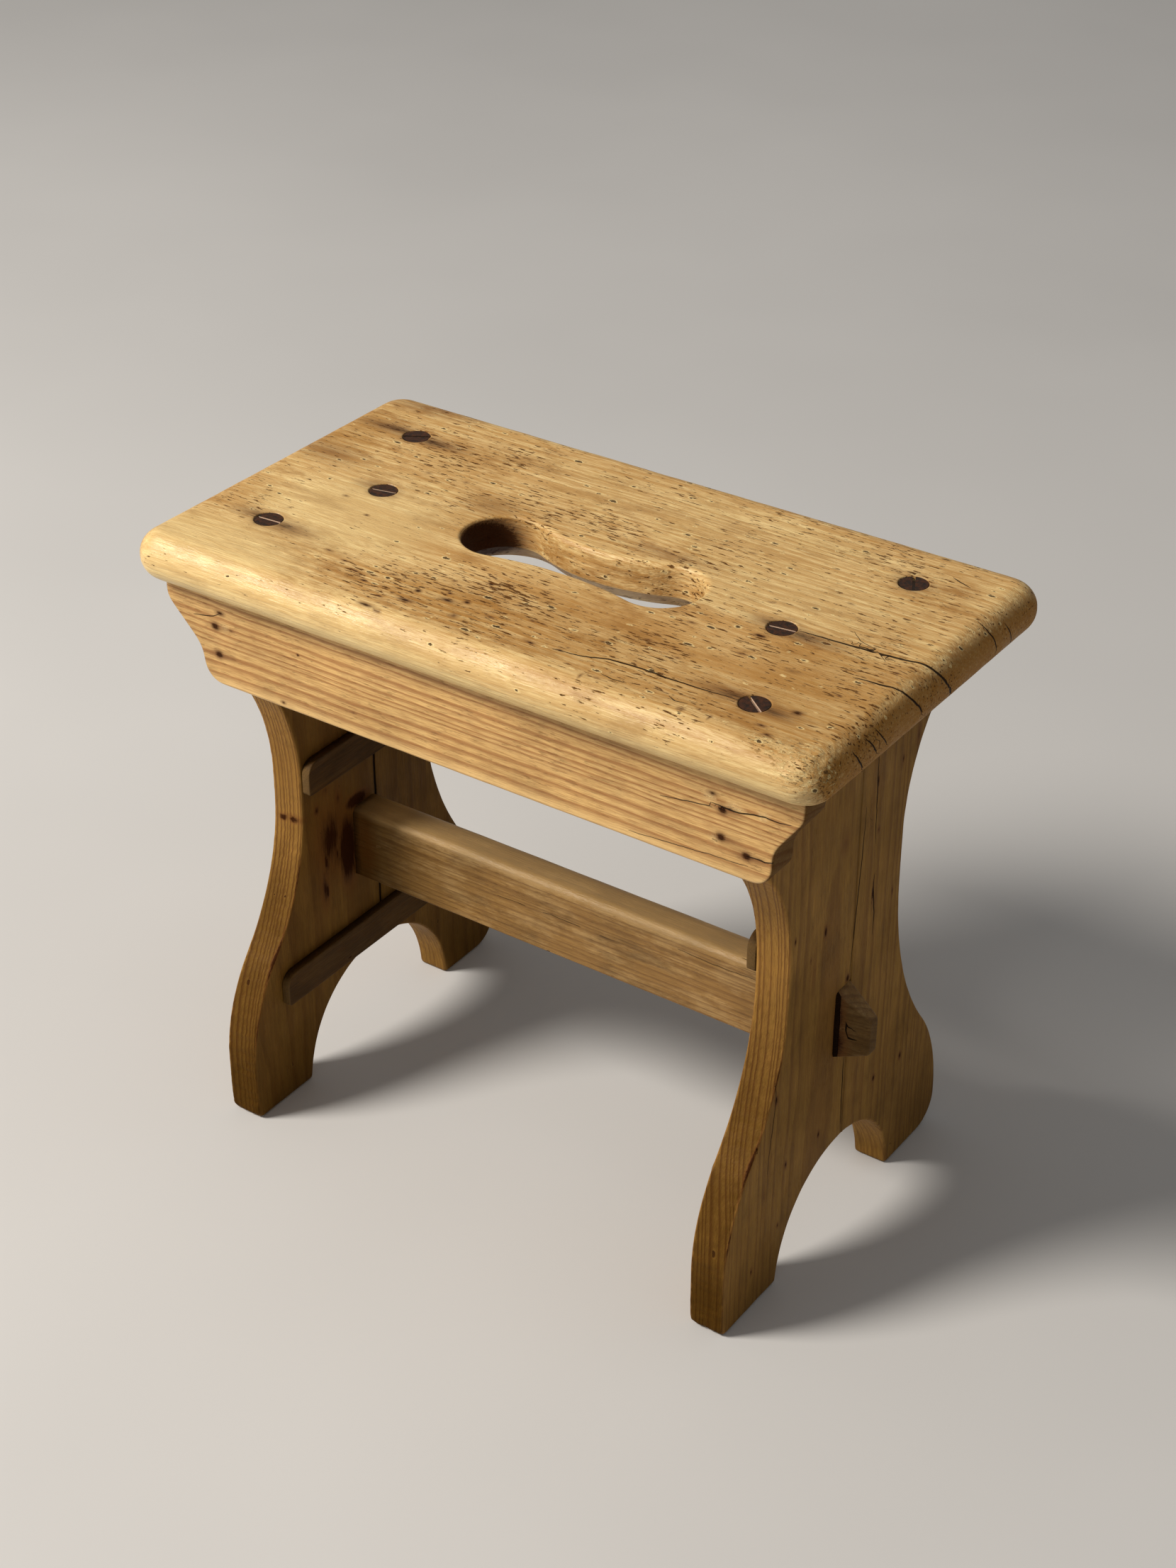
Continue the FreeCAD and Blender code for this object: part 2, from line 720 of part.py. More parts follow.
def drilled(label, blank, holes):
    """Finished piece: the blank with every fastener hole that reaches it."""
    piece = doc.addObject("Part::Cut", label)
    piece.Label = label
    piece.Base = blank
    piece.Tool = holes
    return piece


def signed(end, text):
    return text if end > 0 else f"-({text})"


# Screws through the seat: four into the end boards, two into the cleats
screw, screw_hole = screw_pattern(), screw_hole_pattern()
screws, holes = [], []
screw_rows = [row + ("sizes.board_thickness", 1) for row in OUTER_SCREW_SHARES]
screw_rows += [row + ("sizes.cleat_width", -1) for row in MIDDLE_SCREW_SHARES]
for count, (end, in_share, deep_share, slot_turn, width, outward) in enumerate(screw_rows, 1):
    across = signed(end, f"sizes.end_spread + {outward * in_share} * {width}")
    along = f"{deep_share} * sizes.apron_back"
    turn = FreeCAD.Rotation(Z, slot_turn)
    screws.append(copy_of(screw, f"screw_{count}", (across, along, "sizes.screw_top"), turn))
    spot = (across, along, "sizes.seat_height")
    holes.append(copy_of(screw_hole, f"screw_{count}_hole", spot, turn))

# Nails through the apron into the front boards
nail = nail_pattern("nail_pattern", "nail_length")
nail_hole = nail_hole_pattern("nail_hole_pattern", "nail_length")
apron_nails = []
nail_turn = FreeCAD.Rotation(X, 90)
for count, (end, in_share, up_share) in enumerate(APRON_NAIL_SHARES, 1):
    across = signed(end, f"sizes.end_spread + {in_share} * sizes.board_thickness")
    up = f"sizes.apron_rise + {up_share} * sizes.apron_height"
    apron_nails.append(copy_of(nail, f"apron_nail_{count}", (across, "-sizes.nail_face", up), nail_turn))
    spot = (across, "-sizes.apron_face", up)
    holes.append(copy_of(nail_hole, f"apron_nail_{count}_hole", spot, nail_turn))

# Short nails through the laths into the end boards
short_nail = nail_pattern("lath_nail_pattern", "lath_nail_length")
short_hole = nail_hole_pattern("lath_nail_hole_pattern", "lath_nail_length")
lath_nails = []
lath_rows = (
    ("upper", "upper_lath_front", "upper_lath_back"),
    ("lower", "lower_lath_half", "lower_lath_half"),
)
for end, end_name in ((-1, "left"), (1, "right")):
    for level, front, back in lath_rows:
        up = f"sizes.{level}_lath_rise + sizes.lath_middle"
        turn = FreeCAD.Rotation(Y, -90 * end)
        for count, reach_share in enumerate(LATH_NAIL_SHARES, 1):
            name = f"{end_name}_{level}_lath_nail_{count}"
            reach = front if reach_share < 0 else back
            along = f"{reach_share} * sizes.{reach}"
            sunk = signed(end, "sizes.lath_nail_face")
            lath_nails.append(copy_of(short_nail, name, (sunk, along, up), turn))
            spot = (signed(end, "sizes.lath_face"), along, up)
            holes.append(copy_of(short_hole, f"{name}_hole", spot, turn))

all_holes = group("fastener_holes", holes)

parts = [drilled("seat_board", seat_board_blank(), all_holes)]

apron = apron_blank("front_apron_blank")
place(apron, "0", "-sizes.apron_face", "sizes.apron_rise")
parts.append(drilled("front_apron", apron, all_holes))

for end_name, inner in (("left", "-sizes.end_outside"), ("right", "sizes.end_spread")):
    for half_name, side in (("front", -1), ("back", 1)):
        label = f"{end_name}_{half_name}_board"
        blank = end_board_blank(f"{label}_blank", side, end_name)
        blank.setExpression("Placement.Base.x", inner)
        parts.append(drilled(label, blank, all_holes))

for end_name, inner in (("left", "-sizes.end_spread"), ("right", "sizes.lath_face")):
    for level, front, back in lath_rows:
        label = f"{end_name}_{level}_lath"
        blank = lath_blank(f"{label}_blank", front, back)
        place(blank, inner, "0", f"sizes.{level}_lath_rise")
        parts.append(drilled(label, blank, all_holes))

for end_name, inner in (("left", "-sizes.end_spread"), ("right", "sizes.cleat_inside")):
    label = f"{end_name}_cleat"
    blank = doc.addObject("Part::Box", f"{label}_blank")
    bind(blank, Length="cleat_width", Height="cleat_depth")
    blank.setExpression("Width", "2 * sizes.apron_back")
    place(blank, inner, "-sizes.apron_back", "sizes.seat_underside - sizes.cleat_depth")
    parts.append(drilled(label, blank, all_holes))

parts.append(stretcher())
parts.append(group("seat_screws", screws))
parts.append(group("apron_nails", apron_nails))
parts.append(group("lath_nails", lath_nails))

doc.recompute()
for piece in doc.Objects:
    if "Invalid" in piece.State or "Error" in piece.State:
        raise RuntimeError(f"{piece.Label} failed: {piece.State}")
for piece in parts:
    if piece.Shape.isNull() or not piece.Shape.isValid():
        raise RuntimeError(f"{piece.Label} has no valid shape")

os.makedirs("parts", exist_ok=True)
for piece in parts:
    piece.Shape.exportStep(f"parts/{piece.Label}.step")
    box = piece.Shape.BoundBox
    print(f"{piece.Label:20s} solids {len(piece.Shape.Solids):2d} volume {piece.Shape.Volume:10.1f} "
          f"x {box.XMin:8.2f} {box.XMax:8.2f} y {box.YMin:7.2f} {box.YMax:7.2f} "
          f"z {box.ZMin:7.2f} {box.ZMax:7.2f}")
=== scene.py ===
"""Looks of the shoe fitting stool: old waxed pine, slotted screws and cut nails.

Metres and the same frame as the solids: the floor is z = 0, the seat's long side runs along X
and the front faces -Y. Outlines are worked in millimetres and scaled when a mesh is made.
"""
import math

import bmesh
import bpy
import numpy as np
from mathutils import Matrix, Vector, noise
from mathutils.geometry import delaunay_2d_cdt


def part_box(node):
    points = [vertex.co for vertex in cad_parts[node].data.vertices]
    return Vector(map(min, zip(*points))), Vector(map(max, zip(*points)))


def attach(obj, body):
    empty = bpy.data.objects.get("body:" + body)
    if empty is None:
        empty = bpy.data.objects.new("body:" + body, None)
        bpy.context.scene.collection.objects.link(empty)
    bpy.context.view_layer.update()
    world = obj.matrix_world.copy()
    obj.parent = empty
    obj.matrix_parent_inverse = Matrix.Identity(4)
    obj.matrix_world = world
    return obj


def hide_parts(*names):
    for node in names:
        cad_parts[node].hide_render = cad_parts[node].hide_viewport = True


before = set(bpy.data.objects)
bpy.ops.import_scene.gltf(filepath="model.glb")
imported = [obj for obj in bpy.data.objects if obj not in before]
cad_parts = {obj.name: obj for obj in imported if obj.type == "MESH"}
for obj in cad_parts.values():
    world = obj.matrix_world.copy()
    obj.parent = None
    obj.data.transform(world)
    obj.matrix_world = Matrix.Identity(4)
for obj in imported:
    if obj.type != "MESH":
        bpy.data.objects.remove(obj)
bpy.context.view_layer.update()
scene = bpy.context.scene
MM = 0.001

# Seat board
SEAT_HALF = (176.5, 96.25)
SEAT_LOW, SEAT_TOP = 282.0, 305.0
SEAT_CORNER = 14.5
NOSE = 11.27
SLOT_MIDDLE = (3.0, -3.7)
LOBE = 18.9
LOBE_AT = 41.2
WAIST_FRONT, WAIST_BACK = 13.8, 10.2
SLOT_CURVE_FRONT, SLOT_CURVE_BACK = 150.07, 83.0
SLOT_BEVEL = 7.5
SLOT_ARRIS, GRIP_ROUND = 0.7, 1.6

# Apron
APRON_FACE, APRON_BACK = 84.98, 68.98
APRON_LOW, COVE_AT, LIP_AT = 236.0, 253.0, 272.5
FOOT_END = {-1: 144.5, 1: 152.5}
COVE_END = {-1: 146.7, 1: 151.0}
LIP_END = 165.23
FOOT_ROUND, COVE_ROUND, LIP_ROUND = 10.0, 15.0, 8.0
APRON_TOP_ARRIS, APRON_ARRIS, APRON_BACK_ARRIS = 0.3, 1.3, 0.6
NAILS = ((-136.12, 251.64), (-137.17, 265.44), (127.67, 265.44), (127.32, 252.56), (139.28, 247.96))

# Ends, each of two boards that meet on the seam
END_INSIDE, END_OUTSIDE = 124.5, 142.1
SEAM = 3.7
ARCH = {-1: 54.0, 1: 49.6}
SAW_PITCH = 4.4
END_SHARP, END_ARRIS, FOOT_ARRIS_MORE = 0.35, 1.5, 0.9
MORTISE_FRONT = -8.95
MORTISE_LOW, MORTISE_HIGH = 101.05, 136.35
MORTISE_MIDDLE = (-2.6, 118.7)

# Stretcher
BAR_FRONT, BAR_BACK = -14.1, 4.9
BAR_LOW, BAR_TOP = 100.0, 138.5
TENON_FRONT, TENON_BACK = -8.8, 3.55
TENON_LOW, TENON_HIGH = 101.2, 136.2
TIP_OUT, TIP_LOW, TIP_HIGH, TIP_FRONT = 156.9, 104.7, 123.2, -3.3
BAR_TOP_ROUND, BAR_FOOT_ROUND, TENON_ROUND = 4.5, 1.0, 0.8

# Laths and cleats
LATH_FACE = 119.7
LATH_ROUND, LATH_ARRIS = 7.0, 0.7
LATH_WEAR = 0.06
UPPER_LATH = (-49.18, 43.68, 164.0, 181.5)
LOWER_LATH = (-73.0, 73.0, 57.0, 74.5)
CLEAT_INSIDE = 92.5
CLEAT_LOW = 266.0

# Screws
SCREWS = (
    (-133.3, -49.67), (-133.3, 56.56), (-109.78, 2.07), (128.72, -65.19), (130.48, 59.32), (105.3, -6.21),
)
SINK_MOUTH, SINK_FOOT = 6.8, 2.9

# Fineness of the meshes, and the size of the wear on them
ARC_STEP = 1.2
WALL_ROW = 2.5
FACE_EASING = 0.6
FINE_RINGS, FINE_GAP = (0.7, 1.5, 2.6), 0.6
WEAR_SWELL, WEAR_CHATTER, CHEWED_SWELL = 30.0, 7.5, 2.6

# Camera, fitted to the edges in the photograph
LENS, SENSOR = 62.1, 36.0
CAMERA_AT = (0.59755, -0.85315, 0.83599)
CAMERA_AIM = (-0.48510, 0.69729, -0.52770)

# Studio: half width of the floor in metres, and strengths of the even light and the backdrop
FLOOR_HALF = 15
EVEN_LIGHT, BACKDROP = 0.27, 0.9


def linear(code):
    """Linear colour from an sRGB hex value."""
    parts = [int(code[i:i + 2], 16) / 255 for i in (1, 3, 5)]
    return tuple(p / 12.92 if p <= 0.04045 else ((p + 0.055) / 1.055) ** 2.4 for p in parts) + (1.0,)


# ---------------------------------------------------------------- outlines
def arc(centre, radius, first, last):
    """Points of an arc between two angles in degrees."""
    count = max(3, int(abs(math.radians(last - first)) * radius / ARC_STEP))
    turn = np.radians(np.linspace(first, last, count))
    return [(centre[0] + radius * math.cos(a), centre[1] + radius * math.sin(a)) for a in turn]


def bearing(centre, spot):
    """Direction from a centre to a spot in degrees."""
    return math.degrees(math.atan2(spot[1] - centre[1], spot[0] - centre[0]))


def rubbed(points, step, passes):
    """Closed outline divided evenly, with its corners rubbed round by averaging neighbours."""
    points = np.asarray(points, float)
    closed = np.vstack([points, points[:1]])
    along = np.concatenate([[0], np.cumsum(np.hypot(*np.diff(closed, axis=0).T))])
    count = int(round(along[-1] / step))
    places = np.arange(count) * along[-1] / count
    loop = np.column_stack([np.interp(places, along, closed[:, k]) for k in (0, 1)])
    for _ in range(passes):
        loop = loop / 2 + (np.roll(loop, 1, 0) + np.roll(loop, -1, 0)) / 4
    return loop


def into_wood(loop):
    """Unit directions into the wood: to the left of an outline's run."""
    run = np.roll(loop, -1, 0) - np.roll(loop, 1, 0)
    run /= np.hypot(*run.T)[:, None]
    return np.column_stack([-run[:, 1], run[:, 0]])


def inside(points, loops):
    """True for each point that an odd number of outlines goes round."""
    result = np.zeros(len(points), bool)
    for loop in loops:
        ends = np.roll(loop, -1, 0)
        for (x0, y0), (x1, y1) in zip(loop, ends):
            if y0 != y1:
                between = (points[:, 1] > min(y0, y1)) & (points[:, 1] <= max(y0, y1))
                at = x0 + (points[:, 1] - y0) * (x1 - x0) / (y1 - y0)
                result ^= between & (points[:, 0] < at)
    return result


def clear_of(points, loops, gap):
    """Those of the points that keep a gap from every outline."""
    rim = np.vstack(loops)
    return points[np.array([np.abs(spot - rim).max(1).min() > gap for spot in points], bool)]


def field_points(loops, spacing, seed):
    """Scattered points on a flat face, clear of its outlines."""
    low, high = loops[0].min(0), loops[0].max(0)
    rows = np.arange(low[1] + spacing / 2, high[1], spacing * 0.87)
    spots = []
    for n, y in enumerate(rows):
        xs = np.arange(low[0] + spacing * (0.5 + 0.5 * (n % 2)), high[0], spacing)
        spots.append(np.column_stack([xs, np.full(len(xs), y)]))
    spots = np.vstack(spots)
    spots += np.random.default_rng(seed).uniform(-0.18, 0.18, spots.shape) * spacing
    return clear_of(spots[inside(spots, loops)], loops, spacing * 0.55)


def finer_points(spots, loops):
    """Rings of points round marked places on a flat face, so that small marks come out crisp."""
    turns = np.radians(np.arange(0, 360, 45))
    ring = [(0.0, 0.0)] + [(r * math.cos(a + r), r * math.sin(a + r)) for r in FINE_RINGS for a in turns]
    points = (np.array(spots, float)[:, None] + np.array(ring)[None]).reshape(-1, 2)
    return clear_of(points[inside(points, loops)], loops, FINE_GAP)


# ---------------------------------------------------------------- meshes
class Board:
    """Piece cut from a flat board: outline, rounded edges, and faces filled with small triangles.

    Points are (u, v) on the board's face and w through its thickness.
    """

    def __init__(self, spacing=2.0, seed=0, spots=()):
        self.points, self.faces, self.rim = [], [], []
        self.spacing, self.seed, self.spots = spacing, seed, spots

    def add(self, flat, depth, rim):
        """Row of points at a depth, each with how far it is on a rounded arris."""
        start = len(self.points)
        depth, rim = np.broadcast_to(depth, len(flat)), np.broadcast_to(rim, len(flat))
        self.points += [(u, v, w) for (u, v), w in zip(flat, depth)]
        self.rim += list(rim)
        return list(range(start, start + len(flat)))

    def band(self, upper, lower):
        """Quads between two rows of the same number of points, going round."""
        for n in range(len(upper)):
            m = (n + 1) % len(upper)
            self.faces.append((upper[n], lower[n], lower[m], upper[m]))

    def edge(self, loop, high, low, top_round, foot_round, steps=5):
        """Rounded edge round one outline; returns the rows that bound the two faces."""
        inward, level = into_wood(loop), np.zeros(len(loop))
        top_round, foot_round = level + top_round, level + foot_round
        rows = [(top_round + FACE_EASING, level, 0.0)]
        for turn in np.linspace(0, math.pi / 2, steps):
            rows.append((top_round * (1 - math.sin(turn)), top_round * (1 - math.cos(turn)), math.sin(2 * turn)))
        tall = high - low - top_round - foot_round
        walls = max(1, int(round(float(tall.mean()) / WALL_ROW)))
        for n in range(1, walls):
            rows.append((level, top_round + tall * n / walls, 0.0))
        for turn in np.linspace(math.pi / 2, 0, steps):
            drop = high - low - foot_round * (1 - math.cos(turn))
            rows.append((foot_round * (1 - math.sin(turn)), drop, math.sin(2 * turn)))
        rows.append((foot_round + FACE_EASING, level + (high - low), 0.0))
        made = [self.add(loop + inward * inset[:, None], high - drop, rim) for inset, drop, rim in rows]
        for upper, lower in zip(made, made[1:]):
            self.band(upper, lower)
        return made[0], made[-1]

    def fill(self, rows, depth, upward):
        """Flat face between rows of points, the first one outermost."""
        loops = [np.array([self.points[i][:2] for i in row]) for row in rows]
        known = [i for row in rows for i in row]
        edges, start = [], 0
        for row in rows:
            edges += [(start + n, start + (n + 1) % len(row)) for n in range(len(row))]
            start += len(row)
        extra = field_points(loops, self.spacing, self.seed)
        if self.spots:
            extra = np.vstack([extra, finer_points(self.spots, loops)])
        flat = [Vector(p) for p in np.vstack(loops + [extra])]
        spots, _, faces, origin, _, _ = delaunay_2d_cdt(flat, edges, [], 2, 1e-5)
        index = []
        for spot, sources in zip(spots, origin):
            old = [s for s in sources if s < len(known)]
            index.append(known[old[0]] if old else self.add(np.array([spot[:2]]), depth, 0.0)[0])
        middles = [sum((Vector(spots[n][:2]) for n in face), Vector((0, 0))) / len(face) for face in faces]
        for face, wood in zip(faces, inside(np.array(middles), loops)):
            corners = [index[n] for n in face]
            if wood:
                self.faces.append(corners if upward else corners[::-1])

    def slab(self, loop, high, low, top_round, foot_round, steps=5):
        """Edge round one outline, and both flat faces."""
        upper, lower = self.edge(loop, high, low, top_round, foot_round, steps)
        self.fill([upper], high, True)
        self.fill([lower], low, False)

    def pit(self, row, levels):
        """Round pit: rings down from a row of a face, closed at its foot."""
        for ring, depth, rim in levels:
            lower = self.add(ring, depth, rim)
            self.band(row, lower)
            row = lower
        self.faces.append(row[::-1])


def placed(name, data):
    """Object made from its data and put in the scene."""
    made = bpy.data.objects.new(name, data)
    scene.collection.objects.link(made)
    return made


def piece(name, board, place, material, node, marks=None, rough=0.12):
    """Object from a board's points, with its wear, its marks, and its place on the stool."""
    points = np.array([place(*p) for p in board.points])
    mesh = bpy.data.meshes.new(name)
    mesh.from_pydata([Vector(p) * MM for p in points], [], board.faces)
    shape = bmesh.new()
    shape.from_mesh(mesh)
    bmesh.ops.recalc_face_normals(shape, faces=shape.faces)
    shape.to_mesh(mesh)
    shape.free()
    mesh.update()
    normals = np.array([v.normal[:] for v in mesh.vertices])
    rim = np.array(board.rim)
    found = {"rim": rim, **(marks(points, normals) if marks else {})}
    chewed = found.pop("chewed", 0 * rim)
    low, high = (np.array(corner[:]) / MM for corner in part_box(node))
    drift = Vector((hash_of(name), 0, 0))
    for n, spot in enumerate(points):
        wave = noise.noise(Vector(spot) / WEAR_SWELL + drift)
        chatter = noise.noise(Vector(spot) / WEAR_CHATTER + drift) * (0.3 + 0.9 * rim[n])
        broken = chewed[n] * (0.5 + noise.noise(Vector(spot) / CHEWED_SWELL + drift))
        points[n] = spot - normals[n] * (rough * (0.5 + wave + 0.5 * chatter) + broken)
    points = np.clip(points, low, high)
    mesh.vertices.foreach_set("co", (points * MM).astype(np.float32).ravel())
    for key, values in found.items():
        layer = mesh.attributes.new(key, "FLOAT", "POINT")
        layer.data.foreach_set("value", np.asarray(values, np.float32))
    mesh.update()
    mesh.shade_smooth()
    made = placed(name, mesh)
    mesh.materials.append(material)
    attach(made, "root")
    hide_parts(node)


def hash_of(name):
    """Steady number for a name, so that each piece wears in its own way."""
    return sum((n + 1) * ord(c) for n, c in enumerate(name)) % 97


def cracks_near(points, normals, cracks):
    """Signed distance across the nearest crack, and its half width there, at each point.

    A crack closes towards its last spot, and towards its first one unless that is on an edge.
    """
    gap, side, width = np.full(len(points), 99.0), np.ones(len(points)), np.zeros(len(points))
    for path, half, from_edge in cracks:
        path = np.array(path, float)
        runs = np.diff(path, axis=0)
        lengths = np.linalg.norm(runs, axis=1)
        before = np.concatenate([[0], np.cumsum(lengths)])
        for start, run, length, gone in zip(path, runs, lengths, before):
            share = np.clip((points - start) @ run / (run @ run), 0, 1)
            off = points - start - share[:, None] * run
            far = np.linalg.norm(off, axis=1)
            along = (gone + share * length) / before[-1]
            opening = np.minimum(1, (1 - along) / 0.4)
            if not from_edge:
                opening = np.minimum(opening, along / 0.3)
            closer = far < gap
            gap = np.where(closer, far, gap)
            side = np.where(closer, np.sign((off * np.cross(run, normals)).sum(1)), side)
            width = np.where(closer, half * np.sqrt(np.maximum(opening, 0)), width)
    return {"crack": gap * side, "crack_width": np.where(gap < 4, width, 0)}


def distances(points, spots):
    """For each spot: how far off the points are, counted in its reach along every axis, and its
    strength."""
    for spot, reach, strength in spots:
        yield np.linalg.norm((points - np.array(spot)) / np.array(reach), axis=1), strength


def dark_spots_near(points, dark_spots):
    """Depth of stain and painted shade at each point, below zero where there is neither."""
    depth = np.full(len(points), -1.0)
    for away, strength in distances(points, dark_spots):
        depth = np.maximum(depth, strength * (1.25 - away))
    return depth


def blotch(points, spots):
    """Soft-edged places, each with a reach along every axis and a strength."""
    depth = np.zeros(len(points))
    for away, strength in distances(points, spots):
        depth = np.maximum(depth, strength * (1 - smooth_step(away, 0.4, 1.2)))
    return depth


def smooth_step(values, start, stop):
    """From 0 at the start to 1 at the stop, level at both."""
    share = np.clip((values - start) / (stop - start), 0, 1)
    return share * share * (3 - 2 * share)


# ---------------------------------------------------------------- material nodes
def add(tree, kind, inputs=None, stops=(), **settings):
    """Add a node with its settings; inputs are values, or sockets to link, by name or number.

    A node given as an input stands for its first output.

    Stops are for a colour ramp: places, each with a grey level or a hex colour.
    """
    node = tree.nodes.new(kind)
    for key, value in settings.items():
        setattr(node, key, value)
    for key, value in (inputs or {}).items():
        if isinstance(value, bpy.types.Node):
            value = value.outputs[0]
        if isinstance(value, bpy.types.NodeSocket):
            tree.links.new(value, node.inputs[key])
        else:
            node.inputs[key].default_value = value
    while stops and len(node.color_ramp.elements) < len(stops):
        node.color_ramp.elements.new(0.5)
    for n, (at, colour) in enumerate(stops):
        node.color_ramp.elements[n].position = at
        node.color_ramp.elements[n].color = linear(colour) if isinstance(colour, str) else (colour,) * 3 + (1,)
    return node


def blank_material(name):
    """New material, and its empty node tree."""
    material = bpy.data.materials.new(name)
    material.use_nodes = True
    material.node_tree.nodes.clear()
    return material, material.node_tree


GRAIN_X = (0.0, 0.0, 0.0)
GRAIN_Y = (0.0, 0.0, math.radians(-90))
GRAIN_Z = (0.0, math.radians(90), 0.0)


def pine(name, early, late, patina, worn, grain, pith, ring_gap, ring_depth, wander, streaks, fibres, dashes, dents,
         mottle, gloss, shine, seed):
    """Old softwood, planed by hand and waxed. The eye gets pale early wood and red-brown late
    wood in rings round the pith, streaks and fibres along the grain, dark dashes where the open
    pores took dirt, wax rubbed pale or gone brown in patches, pits with pale torn rims, and
    arrises rubbed pale. The polish layer also carries painted light, and the grime and stain
    layers painted shade."""
    material, tree = blank_material(name)
    place = add(tree, "ShaderNodeTexCoord").outputs["Object"]
    # millimetres, turned so that the grain runs along X, with the pith as the X axis
    mm = add(tree, "ShaderNodeMapping", {
        "Vector": place, "Scale": (1000, 1000, 1000), "Rotation": grain, "Location": pith,
    })
    rim, rubbing_and_painted_light, dirt_and_painted_shade, busy, bruise, stain, near, width = (
        add(tree, "ShaderNodeAttribute", attribute_name=key).outputs["Fac"]
        for key in ("rim", "polish", "grime", "busy", "bruise", "stain", "crack", "crack_width")
    )
    # noise drawn out along the grain. Streaks are 2 mm wide and some 40 mm long, fibres 0.7 by
    # 9 mm, dashes 1 by 4 to 8 mm and splinters 1 by 3 mm. Wear is in patches 8 to 30 mm long: wax
    # rubbed off bare in some, gone brown in others
    drift, streak, fibre, dash, bare, brown, splinter = (
        add(tree, "ShaderNodeTexNoise", {
            "Vector": add(tree, "ShaderNodeMapping", {"Vector": mm, "Scale": (along, across, across)}),
            "Scale": 1.0, "Detail": detail, "Roughness": rough, "Distortion": bend, "W": seed + own,
        }, noise_dimensions="4D")
        for along, across, detail, rough, bend, own in (
            (0.008, 0.03, 3.0, 0.45, 0.0, 0),
            (0.024, 0.5, 3.0, 0.55, 0.3, 3),
            (0.11, 1.4, 3.0, 0.6, 0.0, 5),
            (0.17, 0.95, 3.0, 0.55, 0.0, 7),
            (0.035, 0.1, 6.0, 0.68, 0.0, 13),
            (0.035, 0.1, 6.0, 0.68, 0.0, 15),
            (0.25, 0.7, 5.0, 0.7, 0.0, 19),
        )
    )
    # even noise: places where dashes crowd together, and patina in patches some 50 mm across
    crowd, patch = (
        add(tree, "ShaderNodeTexNoise", {
            "Vector": mm, "Scale": scale, "Detail": detail, "Roughness": rough, "W": seed + own,
        }, noise_dimensions="4D")
        for scale, detail, rough, own in ((0.03, 2.0, 0.5, 9), (0.02, 4.0, 0.6, 11))
    )

    # growth rings: round the pith, wandering slowly along the grain
    drift = add(tree, "ShaderNodeVectorMath", {0: drift.outputs["Color"], 1: (0.5, 0.5, 0.5)}, operation="SUBTRACT")
    drift = add(tree, "ShaderNodeVectorMath", {0: drift, 1: (0, wander, wander)}, operation="MULTIPLY")
    flat = add(tree, "ShaderNodeVectorMath", {0: mm, 1: (0.012, 1, 1)}, operation="MULTIPLY")
    bent = add(tree, "ShaderNodeVectorMath", {0: flat, 1: drift}, operation="ADD")
    radius = add(tree, "ShaderNodeVectorMath", {0: bent}, operation="LENGTH").outputs["Value"]
    years = add(tree, "ShaderNodeMath", {0: radius, 1: ring_gap}, operation="DIVIDE")
    # wet and dry summers: rings bunch up and spread out over some six years
    weather = add(tree, "ShaderNodeMath", {0: years, 1: 0.17}, operation="MULTIPLY")
    weather = add(tree, "ShaderNodeTexNoise", {"W": weather, "Scale": 1.0, "Detail": 2.0}, noise_dimensions="1D")
    age = add(tree, "ShaderNodeMath", {0: weather, 1: 5.0, 2: years}, operation="MULTIPLY_ADD")
    season = add(tree, "ShaderNodeMath", {0: age}, operation="FRACT")
    ring = add(tree, "ShaderNodeValToRGB", {"Fac": season}, stops=(
        (0.0, 0.1), (0.45, 0.14), (0.84, 1.0), (0.95, 0.85), (1.0, 0.1),
    ))

    # dashes crowd together on the busy parts and thin out where the wood is rubbed
    for cover, more in ((busy, 0.1), (rubbing_and_painted_light, -0.4)):
        crowd = add(tree, "ShaderNodeMath", {0: cover, 1: more, 2: crowd}, operation="MULTIPLY_ADD")
    dash = add(tree, "ShaderNodeMath", {0: crowd, 1: 0.3, 2: dash}, operation="MULTIPLY_ADD")
    # how much of each shows: none up to the first value, all from the second, at most the third
    streak, fine, dash, patch, bare, brown, pale, packed = (
        add(tree, "ShaderNodeMapRange", {"Value": value, "From Min": start, "From Max": full, "To Max": most})
        for value, start, full, most in (
            (streak, 0.36, 0.66, streaks), (fibre, 0.42, 0.68, fibres), (dash, 0.755, 0.805, dashes),
            (patch, 0.38, 0.66, 1.0), (bare, 0.48, 0.6, mottle), (brown, 0.5, 0.64, mottle),
            (splinter, 0.54, 0.6, 1.0), (splinter, 0.43, 0.37, 1.0),
        )
    )
    # bruised places: splinters torn pale or packed with dirt
    pale, packed = (
        add(tree, "ShaderNodeMath", {0: cover, 1: bruise}, operation="MULTIPLY", use_clamp=True)
        for cover in (pale, packed)
    )

